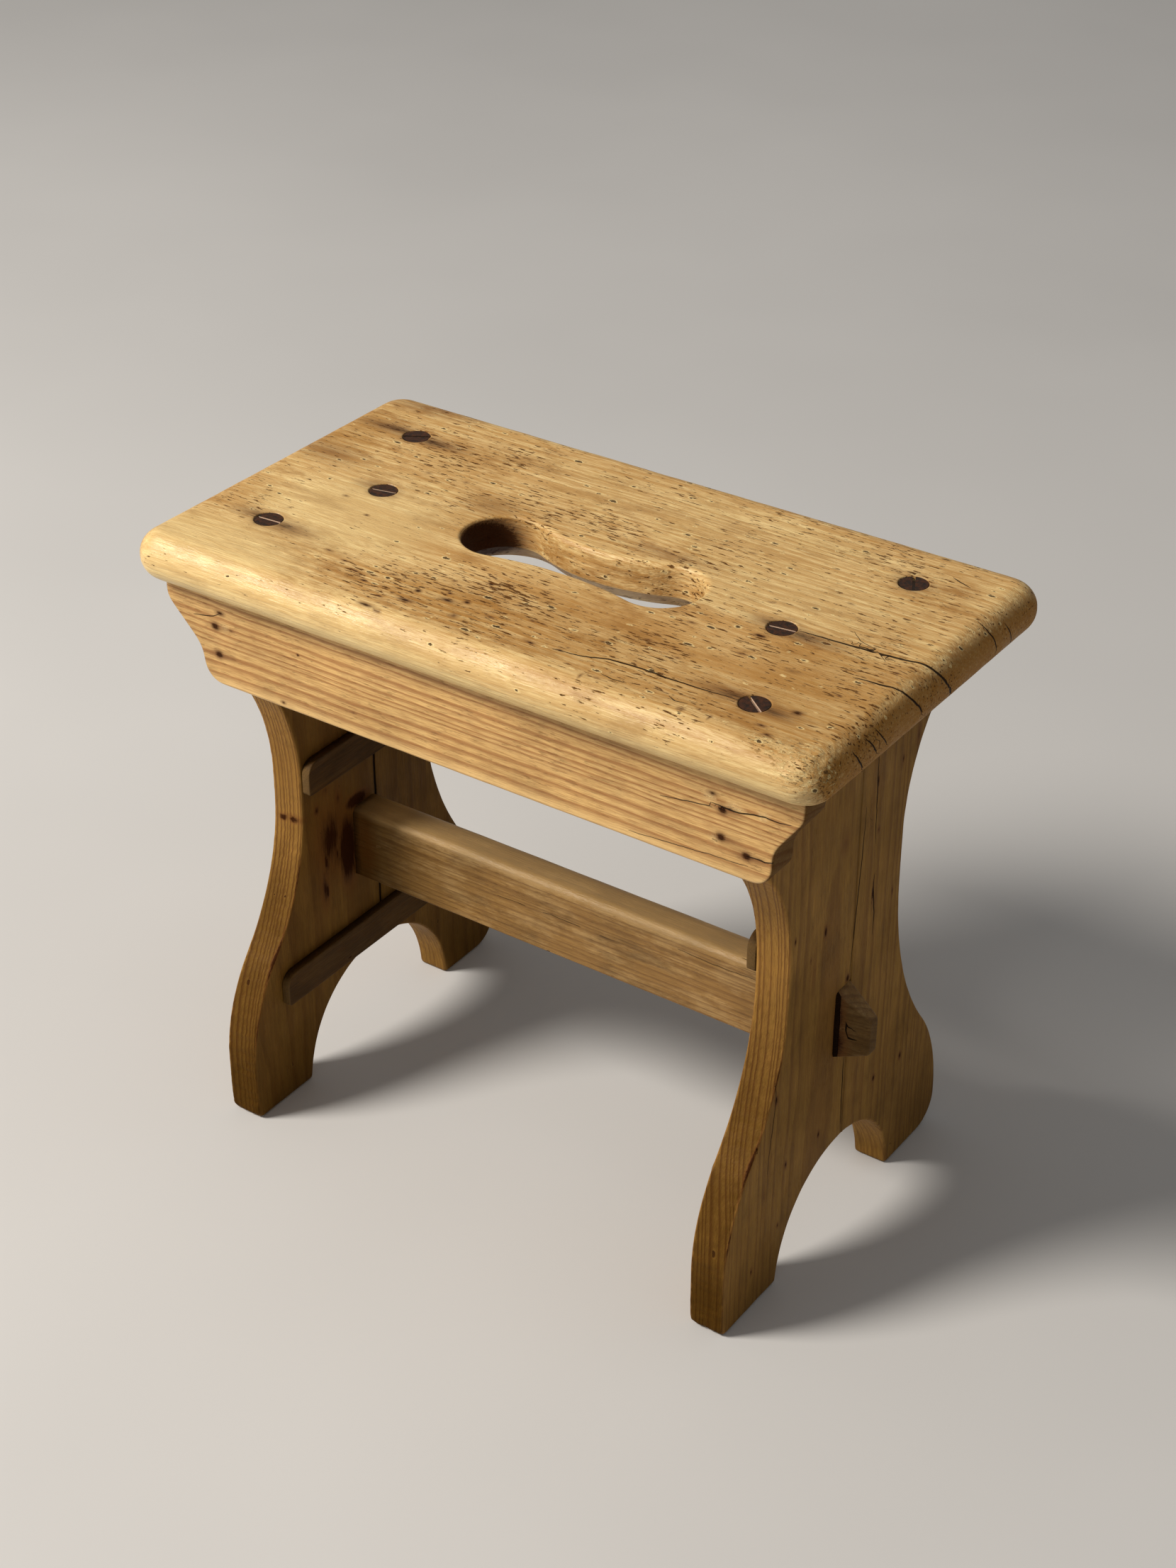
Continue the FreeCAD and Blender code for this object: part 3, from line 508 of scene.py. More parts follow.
    # pits: cells 9 mm by 4 mm, of which some hold a ragged pit with a pale torn rim
    cell = add(tree, "ShaderNodeMapping", {"Vector": mm, "Scale": (0.11, 0.24, 0.24)})
    ragged = add(tree, "ShaderNodeTexNoise", {"Vector": mm, "Scale": 0.6, "Detail": 3.0}).outputs["Color"]
    ragged = add(tree, "ShaderNodeVectorMath", {0: ragged, 1: (0.5, 0.5, 0.5)}, operation="SUBTRACT")
    cell = add(tree, "ShaderNodeVectorMath", {
        0: ragged, 1: (0.35, 0.35, 0.35), 2: cell,
    }, operation="MULTIPLY_ADD")
    knock = add(tree, "ShaderNodeTexVoronoi", {"Vector": cell, "Scale": 1.0, "Randomness": 1.0})
    chance = add(tree, "ShaderNodeSeparateColor", {"Color": knock.outputs["Color"]})
    for cover, more in ((busy, 0.4 * dents), (rubbing_and_painted_light, -0.2)):
        chance = add(tree, "ShaderNodeMath", {0: cover, 1: more, 2: chance}, operation="MULTIPLY_ADD")
    size = add(tree, "ShaderNodeMapRange", {"Value": chance, "From Min": 1.0 - dents, "To Max": 0.24})
    depth = add(tree, "ShaderNodeMath", {0: size, 1: knock.outputs["Distance"]}, operation="SUBTRACT")
    held = add(tree, "ShaderNodeMath", {0: size, 1: 0.05}, operation="GREATER_THAN")

    # cracks, with their sides a little uneven
    jag = add(tree, "ShaderNodeTexNoise", {"Vector": mm, "Scale": 0.14, "Detail": 1.5})
    jag = add(tree, "ShaderNodeMapRange", {"Value": jag, "To Min": -0.6, "To Max": 0.6})
    near = add(tree, "ShaderNodeMath", {0: near, 1: jag}, operation="ADD")
    near = add(tree, "ShaderNodeMath", {0: near}, operation="ABSOLUTE")
    crack = add(tree, "ShaderNodeMath", {0: width, 1: near}, operation="SUBTRACT")
    open_here = add(tree, "ShaderNodeMath", {0: width, 1: 0.03}, operation="GREATER_THAN")
    # a stain is black in the middle and spreads brown along the fibres
    soaked = add(tree, "ShaderNodeMath", {0: fibre, 1: -0.8, 2: stain}, operation="MULTIPLY_ADD")
    dent, torn, crack, blot, wet_edge = (
        add(tree, "ShaderNodeMapRange", {"Value": value, "From Min": start, "From Max": full, "To Max": most})
        for value, start, full, most in (
            (depth, 0.0, 0.05, 0.9), (depth, -0.1, -0.03, min(0.6, 2 * dents)), (crack, -0.12, 0.14, 1.0),
            (soaked, 0.1, 0.5, 1.0), (soaked, -0.4, 0.15, 1.0),
        )
    )
    torn, crack = (
        add(tree, "ShaderNodeMath", {0: cover, 1: here}, operation="MULTIPLY")
        for cover, here in ((torn, held), (crack, open_here))
    )

    # colour, layer over layer; the polish layer also carries painted light, and the grime and stain layers painted
    # shade
    deep = add(tree, "ShaderNodeMath", {0: busy, 1: 0.4, 2: ring_depth}, operation="MULTIPLY_ADD")
    deep = add(tree, "ShaderNodeMath", {0: deep, 1: ring}, operation="MULTIPLY", use_clamp=True)
    colour = linear(early)
    for cover, strength, tint in (
        (rim, 0.45, worn), (bare, 0.85, worn), (deep, 1.0, late), (streak, 1.0, late), (fine, 1.0, late),
        (patch, 0.3, patina), (brown, 0.75, patina), (rubbing_and_painted_light, 0.55, worn), (dirt_and_painted_shade, 0.85, patina),
        (torn, 1.0, worn), (dash, 1.0, "#5c3814"), (dent, 1.0, "#3a200b"), (pale, 0.9, worn),
        (packed, 0.85, "#43290c"), (wet_edge, 0.6, "#6e4219"), (blot, 0.95, "#34190a"), (crack, 0.95, "#1a0d05"),
    ):
        share = cover
        if strength < 1:
            share = add(tree, "ShaderNodeMath", {0: cover, 1: strength}, operation="MULTIPLY")
        colour = add(tree, "ShaderNodeMix", {0: share, 6: colour, 7: linear(tint)}, data_type="RGBA").outputs[2]

    # relief in millimetres: late wood stands up, dashes, pits, splinters and cracks go down
    relief = add(tree, "ShaderNodeMath", {0: ring, 1: 0.06}, operation="MULTIPLY")
    for cover, rise in (
        (fibre, 0.35), (bare, -0.08), (dash, -0.2), (torn, 0.06), (dent, -0.3), (pale, 0.2), (packed, -0.3),
        (crack, -0.8),
    ):
        relief = add(tree, "ShaderNodeMath", {0: cover, 1: rise, 2: relief}, operation="MULTIPLY_ADD")
    bump = add(tree, "ShaderNodeBump", {"Height": relief, "Strength": 1.0, "Distance": MM})
    dull = add(tree, "ShaderNodeMapRange", {"Value": patch, "To Min": gloss - 0.05, "To Max": gloss + 0.12})
    for cover, more in ((rubbing_and_painted_light, -0.12), (bare, 0.1), (dash, 0.2), (packed, 0.2)):
        dull = add(tree, "ShaderNodeMath", {0: cover, 1: more, 2: dull}, operation="MULTIPLY_ADD")
    # dirt in the hollows and on sawn ends, and painted shade, does not shine
    lit = dash
    for cover in (dent, packed, blot, crack, dirt_and_painted_shade):
        lit = add(tree, "ShaderNodeMath", {0: lit, 1: cover}, operation="MAXIMUM")
    lit = add(tree, "ShaderNodeMath", {0: lit, 1: -0.9 * shine, 2: shine}, operation="MULTIPLY_ADD")
    wood = add(tree, "ShaderNodeBsdfPrincipled", {
        "Base Color": colour, "Roughness": dull, "Normal": bump, "IOR": 1.5, "Specular IOR Level": lit,
    })
    add(tree, "ShaderNodeOutputMaterial", {"Surface": wood})
    return material


seat_pine = pine(
    "waxed_pine_seat", early="#fee0a0", late="#bc8842", patina="#9c6a2a", worn="#fadf9e",
    grain=GRAIN_X, pith=(0.0, 30.0, -210.0), ring_gap=3.0, ring_depth=0.5, wander=9.0,
    streaks=0.65, fibres=0.85, dashes=0.95, dents=0.3, mottle=0.95, gloss=0.42, shine=0.4, seed=1.0,
)
apron_pine = pine(
    "planed_pine_apron", early="#f3c880", late="#985c26", patina="#543614", worn="#f7d392",
    grain=GRAIN_X, pith=(0.0, 120.0, -130.0), ring_gap=4.0, ring_depth=0.72, wander=8.0,
    streaks=0.25, fibres=0.5, dashes=0.3, dents=0.05, mottle=0.25, gloss=0.5, shine=0.35, seed=4.0,
)
end_pine = pine(
    "upright_pine_end", early="#a57b35", late="#6c4318", patina="#402909", worn="#c8954a",
    grain=GRAIN_Z, pith=(0.0, 12.0, 260.0), ring_gap=2.3, ring_depth=0.5, wander=5.0,
    streaks=0.35, fibres=0.3, dashes=0.2, dents=0.03, mottle=0.3, gloss=0.6, shine=0.18, seed=8.0,
)
stretcher_pine = pine(
    "rubbed_pine_stretcher", early="#a0773a", late="#6c461c", patina="#3a260a", worn="#edc788",
    grain=GRAIN_X, pith=(0.0, 30.0, -60.0), ring_gap=3.0, ring_depth=0.5, wander=5.0,
    streaks=0.28, fibres=0.3, dashes=0.3, dents=0.06, mottle=0.45, gloss=0.45, shine=0.3, seed=12.0,
)
lath_pine = pine(
    "riven_pine_lath", early="#5f431b", late="#3f290f", patina="#221405", worn="#6f5630",
    grain=GRAIN_Y, pith=(0.0, 60.0, -60.0), ring_gap=2.6, ring_depth=0.6, wander=5.0,
    streaks=0.4, fibres=0.4, dashes=0.3, dents=0.08, mottle=0.4, gloss=0.65, shine=0.15, seed=16.0,
)

# ---------------------------------------------------------------- seat board
def seat_outline():
    """Rectangle with round corners."""
    hx, hy, r = SEAT_HALF[0] - SEAT_CORNER, SEAT_HALF[1] - SEAT_CORNER, SEAT_CORNER
    corners = arc((hx, -hy), r, -90, 0) + arc((hx, hy), r, 0, 90)
    corners += arc((-hx, hy), r, 90, 180) + arc((-hx, -hy), r, 180, 270)
    return rubbed(corners, step=2.0, passes=0)


def slot_outline():
    """Two bored lobes joined by a waist, run clockwise because it is a hole."""
    mx, my = SLOT_MIDDLE
    right, left = (mx + LOBE_AT, my), (mx - LOBE_AT, my)
    front = (mx, my - SLOT_CURVE_FRONT - WAIST_FRONT)
    back = (mx, my + SLOT_CURVE_BACK + WAIST_BACK)
    points = arc(right, LOBE, bearing(right, front), bearing(right, back))
    points += arc(back, SLOT_CURVE_BACK, bearing(back, right), bearing(back, left))
    points += arc(left, LOBE, bearing(left, back), bearing(left, front) + 360)
    points += arc(front, SLOT_CURVE_FRONT, bearing(front, left), bearing(front, right))
    return rubbed(points, step=1.3, passes=0)[::-1]


# knocks and spots of dirt: place, reach along and across the grain, depth, and the height of
# those off the flat top
KNOCKS = (
    (-48.0, -87.5, 6, 1.5, 0.95, 304.2), (-41.0, -88.6, 2.5, 1.3, 0.9, 304.0), (-36.6, -75.5, 5, 1.8, 0.85),
    (-47.8, -78.7, 3, 1.1, 0.8), (-22.0, -65.5, 5, 2.2, 0.8), (-14.0, -62.5, 2.4, 1.6, 0.9),
    (-37.2, -65.8, 2.2, 1.7, 1.0), (-24.7, -60.0, 2.2, 1.2, 0.8), (-11.6, -74.8, 3, 2.6, 0.6),
    (1.6, -67.1, 4, 1.1, 0.7), (28.0, -75.5, 3.6, 1.2, 0.85), (41.5, -73.8, 2.6, 1.2, 0.8),
    (-15.4, -43.6, 2.0, 1.4, 0.95), (101.5, -17.4, 4.2, 1.5, 0.95), (103.0, -34.4, 3, 1.2, 0.6),
    (127.6, -34.9, 5, 2.0, 0.45), (146.3, -62.1, 3.6, 2.4, 0.9), (139.7, -78.0, 3.6, 1.3, 0.75),
    (145.1, -82.7, 3.2, 1.4, 0.8), (107.3, -85.4, 2.2, 1.6, 0.85, 304.6), (153.0, -41.4, 1.8, 1.2, 0.7),
    (167.1, -50.3, 1.8, 1.2, 0.7, 304.3), (162.6, -12.7, 2.2, 1.2, 0.7), (72.5, -23.6, 3.2, 1.3, 0.65),
    (-80.0, -62.0, 3.0, 1.0, 0.8), (-70.0, -67.0, 3.4, 1.0, 0.8), (-62.0, -71.5, 2.6, 1.1, 0.8),
    (-92.0, -58.0, 3.4, 0.9, 0.7), (-55.0, -60.0, 3.0, 1.0, 0.7), (6.0, -52.0, 2.6, 1.0, 0.7),
    (18.0, -60.0, 2.8, 1.0, 0.7), (-30.0, -50.0, 2.0, 1.0, 0.7), (52.0, -58.0, 2.6, 1.0, 0.7),
    (66.0, -46.0, 2.4, 1.0, 0.65), (84.0, -52.0, 2.6, 1.1, 0.65), (-104.0, 28.0, 2.6, 1.6, 0.5),
    (-84.0, 30.0, 2.2, 1.4, 0.5), (-120.0, -12.0, 2.4, 1.2, 0.6), (-100.0, -22.0, 2.0, 1.2, 0.7),
    (60.0, -86.0, 1.2, 2.2, 0.7, 304.7), (66.5, -84.0, 2.4, 1.0, 0.7, 304.8), (120.0, -84.5, 1.0, 2.4, 0.7, 304.8),
    (90.0, 10.0, 3.0, 1.0, 0.5), (118.0, 28.0, 2.6, 1.0, 0.55), (60.0, 44.0, 3.0, 1.0, 0.5),
)
# brown halo of each screw: reach to its left and right, depth
HALOS = ((14, 20, 0.62), (26, 22, 0.7), (12, 7, 0.5), (20, 16, 0.66), (8, 8, 0.4), (12, 22, 0.64))
# cracks: path, with the height left out on the flat top, half width, whether it starts on an edge
SEAT_EDGE = SEAT_HALF[0]
SEAT_CRACKS = (
    ([(38.5, -74.4), (51.3, -72.7), (62.3, -68.6), (75.2, -67.3), (89.2, -68.0), (105.7, -67.6), (124.0, -66.5)],
     0.42, False),
    ([(SEAT_EDGE, 11.0, 288.0), (175.6, 4.3, 298.1), (173.2, 1.8, 301.7), (169.7, 0.7, 304.1), (160.9, -1.1),
      (148.7, -2.5), (129.5, -3.6), (112.0, -4.6)], 0.6, True),
    ([(SEAT_EDGE, -16.1, 294.0), (174.9, -19.8, 299.5), (171.2, -22.2, 303.3), (164.1, -24.0), (150.0, -25.2)],
     0.5, True),
    ([(154.8, -7.5), (145.5, 0.3), (137.8, 2.1), (130.9, 8.3)], 0.13, False),
    ([(SEAT_EDGE, -61.8, 290.0), (176.3, -65.8, 296.0), (174.8, -68.0, 299.7)], 0.4, True),
    ([(SEAT_EDGE, -52.2, 293.2), (175.7, -55.2, 297.9), (174.2, -57.3, 300.6)], 0.4, True),
    ([(SEAT_EDGE, -44.4, 293.2), (175.8, -47.6, 297.7), (174.2, -49.5, 301.0)], 0.3, True),
    ([(SEAT_EDGE, 48.1, 293.1), (175.8, 46.7, 297.6), (173.8, 44.9, 301.0), (168.0, 45.6, 304.4)], 0.35, True),
    ([(SEAT_EDGE, 63.0, 289.5), (176.2, 59.4, 296.3), (174.7, 57.9, 299.8)], 0.3, True),
    ([(66.0, -80.0), (72.1, -81.2), (79.0, -80.4)], 0.2, False),
    ([(98.0, -79.2), (102.0, -81.4), (107.5, -80.6)], 0.2, False),
    ([(141.8, 73.2), (147.0, 71.0), (152.5, 68.9)], 0.25, False),
)


def cracks_on(place, cracks):
    """Cracks with each spot of their paths put in its place."""
    return [([place(*spot) for spot in path], half, from_edge) for path, half, from_edge in cracks]


def seat_marks(points, normals):
    """Where the seat is cracked, stained, rubbed, handled, bruised and busy with small marks, with painted shadow in
    the slot's left lobe and painted light on the front of the nose.
    """
    top = SEAT_TOP
    cracks = cracks_on(lambda x, y, z=SEAT_TOP: (x, y, z), SEAT_CRACKS)
    # brown halos of rust and old polish, drawn out along the grain on both sides of the screws
    dark_spots = []
    for (x, y), (left, right, depth) in zip(SCREWS, HALOS):
        dark_spots += [((x, y, top), (8.6, 8.0, 6), 0.8), ((x - left / 2, y + 1, top), (left, 5.5, 6), depth),
                   ((x + right / 2, y - 1.5, top), (right, 6.0, 6), depth)]
    dark_spots += [((x, y, *(height or [top])), (long, wide, 5), depth) for x, y, long, wide, depth, *height in KNOCKS + (
        (-150.0, 84.0, 34, 6, 0.4), (-155.0, 20.0, 24, 10, 0.4), (-60.0, 18.0, 16, 10, 0.36), (30.0, 22.0, 26, 5, 0.34),
    )]
    # painted shadow on the wall of the slot's left lobe, but not on the top beside it
    x, y, z = points.T
    side, front, up = normals.T
    lobe_shadow = dark_spots_near(points, [((-54.0, -2.0, 292.0), (20, 26, 14), 1.9)])
    stain = dark_spots_near(points, dark_spots)
    stain = np.where(up < 0.4, np.maximum(stain, lobe_shadow), stain)
    # the front nose is rubbed pale, most of all on the left, and its front and underside are paler still as painted
    # light; the front middle is handled brown
    nose_wear_and_light = smooth_step(-y, SEAT_HALF[1] - 17, SEAT_HALF[1] - 6) * smooth_step(z, 281, 287)
    nose_wear_and_light = nose_wear_and_light * (0.68 - 0.3 * smooth_step(x, -60, 40)) * (1 - 0.5 * smooth_step(up, 0.35, 0.75))
    # painted light: the front and underside of the nose, turned from the lamp, are made paler
    nose_wear_and_light = nose_wear_and_light + 0.4 * smooth_step(-front, 0.3, 0.6) * smooth_step(-up, 0.0, 0.3)
    pale_corner = blotch(points, [
        ((-140.0, -84.0, top), (60, 30, 12), 0.75), ((-105.0, -25.0, top), (55, 45, 9), 0.6),
        ((20.0, 62.0, top), (120, 26, 9), 0.25), ((95.0, 20.0, top), (60, 30, 9), 0.35),
    ])
    sawn = smooth_step(np.abs(x) / SEAT_EDGE, 0.955, 0.995) * smooth_step(np.abs(side), 0.35, 0.85)
    handled = blotch(points, [
        ((10.0, -62.0, top), (75, 26, 6), 0.42), ((150.0, -45.0, top), (40, 60, 9), 0.42),
        ((90.0, -70.0, top), (45, 24, 6), 0.3), ((-55.0, 8.0, top), (24, 26, 6), 0.3),
        ((-164.0, 42.0, 304.0), (26, 32, 9), 0.5),
    ])
    corner = blotch(points, [((165.0, -86.0, 297.0), (18, 13, 14), 0.95), ((152.0, -87.0, 303.5), (16, 7, 5), 0.7)])
    low_front = blotch(points, [((60.0, -94.0, 287.0), (110, 8, 6), 0.12)])
    busy = blotch(points, [
        ((-25.0, -62.0, top), (95, 30, 8), 1.0), ((100.0, -10.0, top), (75, 70, 8), 0.6),
        ((0.0, 62.0, top), (130, 26, 8), 0.6),
    ])
    return {
        **cracks_near(points, normals, cracks),
        "stain": stain,
        "polish": np.maximum(nose_wear_and_light, pale_corner) * (1 - sawn) * (1 - corner),
        "grime": np.clip(sawn + handled * (1 - nose_wear_and_light), 0, 1),
        "bruise": np.maximum(np.maximum(corner, low_front), 0.15 * sawn),
        "chewed": corner,
        "busy": busy,
    }


def seat_board():
    """Bullnosed board with the hand slot, bevelled underneath, and the pits of the screws."""
    board = Board(1.8, 3, [spot[:2] for spot in KNOCKS])
    outer = board.edge(seat_outline(), SEAT_TOP, SEAT_LOW, NOSE, NOSE, steps=14)
    slot = slot_outline()
    # the slot's upper arris is worn rounder at the back, where the fingers go
    grip = GRIP_ROUND + (
        GRIP_ROUND * np.clip((slot[:, 1] - SLOT_MIDDLE[1]) / 12, 0, 1) * np.clip((slot[:, 0] + 42) / 30, 0, 1)
    )
    hand = board.edge(slot, SEAT_TOP, SEAT_LOW + SLOT_BEVEL, grip, SLOT_ARRIS, steps=7)
    foot = board.add(slot + into_wood(slot) * SLOT_BEVEL, SEAT_LOW, 0.6)
    board.band(hand[1], foot)
    turn = np.radians(-np.arange(0, 360, 10))
    way = np.column_stack([np.cos(turn), np.sin(turn)])
    mouths = [board.add(np.array(spot) + way * (SINK_MOUTH + 0.9), SEAT_TOP, 0.0) for spot in SCREWS]
    board.fill([outer[0], hand[0]] + mouths, SEAT_TOP, True)
    board.fill([outer[1], foot], SEAT_LOW, False)
    for spot, row in zip(SCREWS, mouths):
        board.pit(row, [(np.array(spot) + way * radius, SEAT_TOP - drop, rim) for radius, drop, rim in (
            (SINK_MOUTH + 0.3, 0.03, 0.5), (SINK_MOUTH, 0.2, 1.0), (SINK_MOUTH - 0.1, 0.5, 0.6), (SINK_FOOT, 3.9, 0.0),
        )])
    piece("seat", board, lambda u, v, w: (u, v, w), seat_pine, "seat_board", seat_marks)


seat_board()


# ---------------------------------------------------------------- apron
def apron_outline():
    """Ogee at each end: lip, cove and rounded foot. The right foot runs out further."""
    right, left = ([
        (way * FOOT_END[way], APRON_LOW, FOOT_ROUND),
        (way * COVE_END[way], COVE_AT, COVE_ROUND),
        (way * LIP_END, LIP_AT, LIP_ROUND),
        (way * LIP_END, SEAT_LOW, 0.0),
    ] for way in (1, -1))
    return rubbed(filleted(right + left[::-1]), step=1.4, passes=2)


def filleted(corners):
    """Outline through corners, each rounded with an arc that touches both sides."""
    points = []
    for n, (x, y, radius) in enumerate(corners):
        here = Vector((x, y))
        before = (Vector(corners[n - 1][:2]) - here).normalized()
        after = (Vector(corners[(n + 1) % len(corners)][:2]) - here).normalized()
        if radius == 0:
            points.append((x, y))
            continue
        half = before.angle(after) / 2
        reach = radius / math.tan(half)
        centre = here + (before + after).normalized() * radius / math.sin(half)
        start, stop = here + before * reach, here + after * reach
        first, last = bearing(centre, start), bearing(centre, stop)
        last += 360 * round((first - last) / 360)
        points += arc(centre, radius, first, last)
    return points


# spots on the apron: place, reach along and across the grain, depth
APRON_SPOTS = (
    (-133.8, 272.9, 3.5, 1.6, 0.9), (122.7, 271.5, 3.4, 1.6, 0.8), (-99.9, 238.9, 2.2, 1.2, 0.8),
    (-89.8, 266.0, 1.2, 1.0, 0.9), (139.3, 248.2, 3.4, 1.4, 0.9), (131.0, 267.0, 4.0, 1.6, 0.7),
    (-128.0, 265.8, 3.0, 1.2, 0.6), (-60.0, 247.0, 3.0, 0.8, 0.5),
)


def apron_marks(points, normals):
    """Cracks, dirt round the nails, a foot worn pale, chipped places, and sawn ends darker, partly as end grain and
    partly as painted shade.
    """
    face = -APRON_FACE
    cracks = cracks_on(lambda x, z: (x, face, z), (
        ([(122.0, 267.2), (134.5, 266.6), (140.9, 268.0), (147.4, 269.0), (152.2, 268.8), (159.0, 269.4)], 0.3, False),
        ([(98.0, 261.7), (108.0, 263.3), (122.3, 265.2), (129.0, 265.5)], 0.18, False),
        ([(139.0, 248.2), (144.0, 248.6), (148.3, 248.2), (155.5, 250.2)], 0.25, False),
        ([(82.0, 239.6), (98.2, 240.5), (121.9, 242.6), (141.9, 243.4)], 0.12, False),
        ([(-150.0, 268.0), (-142.0, 269.3), (-137.0, 270.8), (-133.8, 272.9)], 0.2, False),
    ))
    dark_spots = [((x, face, z), (3.6, 3, 2.9), 1.0) for x, z in NAILS]
    dark_spots += [((x + 2, face, z), (9, 3, 2.2), 0.5) for x, z in NAILS]
    dark_spots += [((x, face, z), (long, 3, tall), depth) for x, z, long, tall, depth in APRON_SPOTS]
    foot = 1 - smooth_step(points[:, 2], APRON_LOW + 1, APRON_LOW + 7)
    # sawn ends: darker end grain, and painted shade
    sawn = smooth_step(np.abs(normals[:, 0]), 0.3, 0.6)
    chips = blotch(points, [((x, face, z), (long, 2, tall), 1.0) for x, z, long, tall in (
        (133.5, 268.6, 5, 2.0), (146.5, 269.3, 3, 2.2), (121.5, 270.0, 3, 2.5), (-131.5, 266.5, 2.5, 2.0),
        (124.0, 251.0, 2.5, 2.0),
    )])
    return {
        **cracks_near(points, normals, cracks),
        "stain": dark_spots_near(points, dark_spots),
        "polish": np.clip(0.7 * foot * (1 - sawn) + 0.9 * chips, 0, 1),
        "grime": sawn,
        "bruise": chips,
    }


def apron():
    """Straight board with the ogee ends, sharp along the top, where it meets the seat."""
    board = Board(2.0, 5, [spot[:2] for spot in NAILS + APRON_SPOTS])
    loop = apron_outline()
    soft = np.where(loop[:, 1] > SEAT_LOW - 2, APRON_TOP_ARRIS, APRON_ARRIS)
    board.slab(loop, APRON_FACE, APRON_BACK, soft, APRON_BACK_ARRIS)
    piece("apron_board", board, lambda u, v, w: (u, -w, v), apron_pine, "front_apron", apron_marks)


apron()


# ---------------------------------------------------------------- ends
FRONT_EDGE = {
    "foot": 95.5, "heel": 30.0, "heel_round": 3.6, "bulge": 86.0, "bulge_top": 83.5, "hollow": 123.8,
    "waist": 49.98, "waist_low": 160.48, "waist_high": 172.28, "shoulder_at": 236.0, "neck": 68.98,
}
LEFT_FRONT_EDGE = {**FRONT_EDGE, "flare": 99.8, "shoulder": 72.98}
RIGHT_FRONT_EDGE = {**FRONT_EDGE, "flare": 87.6, "shoulder": 77.48}
BACK_EDGE = {
    "foot": 96.0, "heel": 17.0, "heel_round": 14.45, "bulge": 88.5, "bulge_top": 71.2, "hollow": 157.3,
    "waist": 44.48, "waist_low": 167.56, "waist_high": 193.52, "flare": 78.5,
    "shoulder": 84.98, "shoulder_at": 262.2, "neck": 84.98,
}


def shaped_edge(form):
    """Shaped edge of an end, from the floor up: foot, bulge, hollow, waist, flare and neck."""
    foot, heel, curl, waist = form["foot"], form["heel"], form["heel_round"], form["waist"]
    points = arc((foot - curl, curl), curl, -90, 0)
    top = math.degrees(math.asin((form["bulge_top"] - heel) / form["bulge"]))
    points += arc((foot - form["bulge"], heel), form["bulge"], 0, top)
    hollow = (waist + form["hollow"], form["waist_low"])
    points += arc(hollow, form["hollow"], bearing(hollow, points[-1]) % 360, 180)
    flare = (waist + form["flare"], form["waist_high"])
    shoulder = (form["shoulder"], form["shoulder_at"])
    points += arc(flare, form["flare"], 180, bearing(flare, shoulder) % 360)
    return points + [shoulder, (form["neck"], form["shoulder_at"]), (form["neck"], SEAT_LOW)]


# knots and spots on the outside of the right end: place, reach across and along the grain, depth
RIGHT_SPOTS = (
    (-21.5, 176.3, 1.6, 5, 1.0), (-47.0, 185.7, 1.1, 3, 0.9), (38.9, 232.5, 1.6, 5, 0.7), (37.2, 165.0, 1.0, 5, 0.8),
    (56.6, 61.2, 1.6, 3.4, 0.95), (31.7, 63.8, 1.8, 2.8, 0.95), (-18.0, 63.7, 1.3, 3.4, 0.95),
    (-46.2, 65.8, 1.3, 3.4, 0.95), (-57.0, 108.5, 2.0, 5, 0.85), (18.7, 173.2, 1.3, 11, 0.9),
    (-72.3, 22.4, 1.3, 3.4, 0.8), (-51.0, 34.2, 1.2, 2.6, 0.8), (47.0, 193.9, 1.3, 5, 0.6),
    (17.5, 232.0, 1.3, 12, 0.75), (-8.0, 214.0, 4.0, 7, 0.45), (-30.0, 160.0, 2, 16, 0.4), (52.0, 238.0, 2.6, 8, 0.6),
    (-64.0, 60.0, 1.5, 18, 0.45), (58.0, 212.0, 1.2, 3, 0.7), (20.5, 206.0, 1.6, 2.4, 0.7),
    (0.6, 139.0, 2.2, 3.2, 1.0), (-33.0, 168.0, 0.9, 2.4, 0.7),
)
# dark places on the inside of the left end, most of them in front of the stretcher, in the same order
LEFT_SPOTS = (
    (-19.0, 118.0, 8, 25, 1.3), (-11.0, 141.5, 10, 5, 1.3), (-27.0, 119.0, 7, 18, 0.65), (-35.0, 118.0, 2.4, 13, 0.9),
    (-35.5, 102.0, 2.0, 8, 0.95), (-28.8, 137.0, 4, 8, 0.7), (-19.0, 165.0, 1.6, 2.6, 1.0), (-24.2, 149.0, 4, 8, 0.6),
    (-33.0, 158.0, 6, 5, 0.5), (-40.0, 150.0, 2.5, 5, 0.8), (-31.0, 130.0, 13, 24, 0.85), (-37.0, 104.0, 4, 14, 0.8),
)
# two nail holes through the left front edge
EDGE_NAILS = ((-130.0, -50.5, 148.5), (-136.5, -50.5, 148.0))


def right_end_marks(points, normals):
    """Cracks and knots of the outside, and painted shade: dark lines in the gap at the mortise and under the apron."""
    cracks = cracks_on(lambda y, z: (END_OUTSIDE, y, z), (
        ([(19.3, 184.0), (18.9, 177.6), (21.3, 161.2), (20.7, 150.2)], 0.35, False),
        ([(16.5, 250.0), (16.8, 233.0), (17.3, 218.5), (18.4, 199.5)], 0.3, False),
        ([(8.2, 224.0), (6.9, 197.4), (4.6, 172.0), (2.3, 140.8)], 0.3, False),
        ([(1.5, 96.0), (1.7, 80.0), (2.2, 56.0)], 0.3, False),
        ([(-58.0, 120.0), (-57.0, 108.5), (-60.0, 88.0), (-62.0, 70.0)], 0.2, False),
    ))
    # painted shade in the gap at the mortise's front, and painted shadow under the apron
    dark_spots = [((END_OUTSIDE, MORTISE_FRONT, 118.0), (4, 1.3, 20), 0.9), ((134.5, -72.0, 224.9), (12, 8, 1.2), 0.85)]
    dark_spots += [((END_OUTSIDE, y, z), (4, wide, tall), depth) for y, z, wide, tall, depth in RIGHT_SPOTS]
    return {**cracks_near(points, normals, cracks), **end_wear(points, normals, dark_spots)}


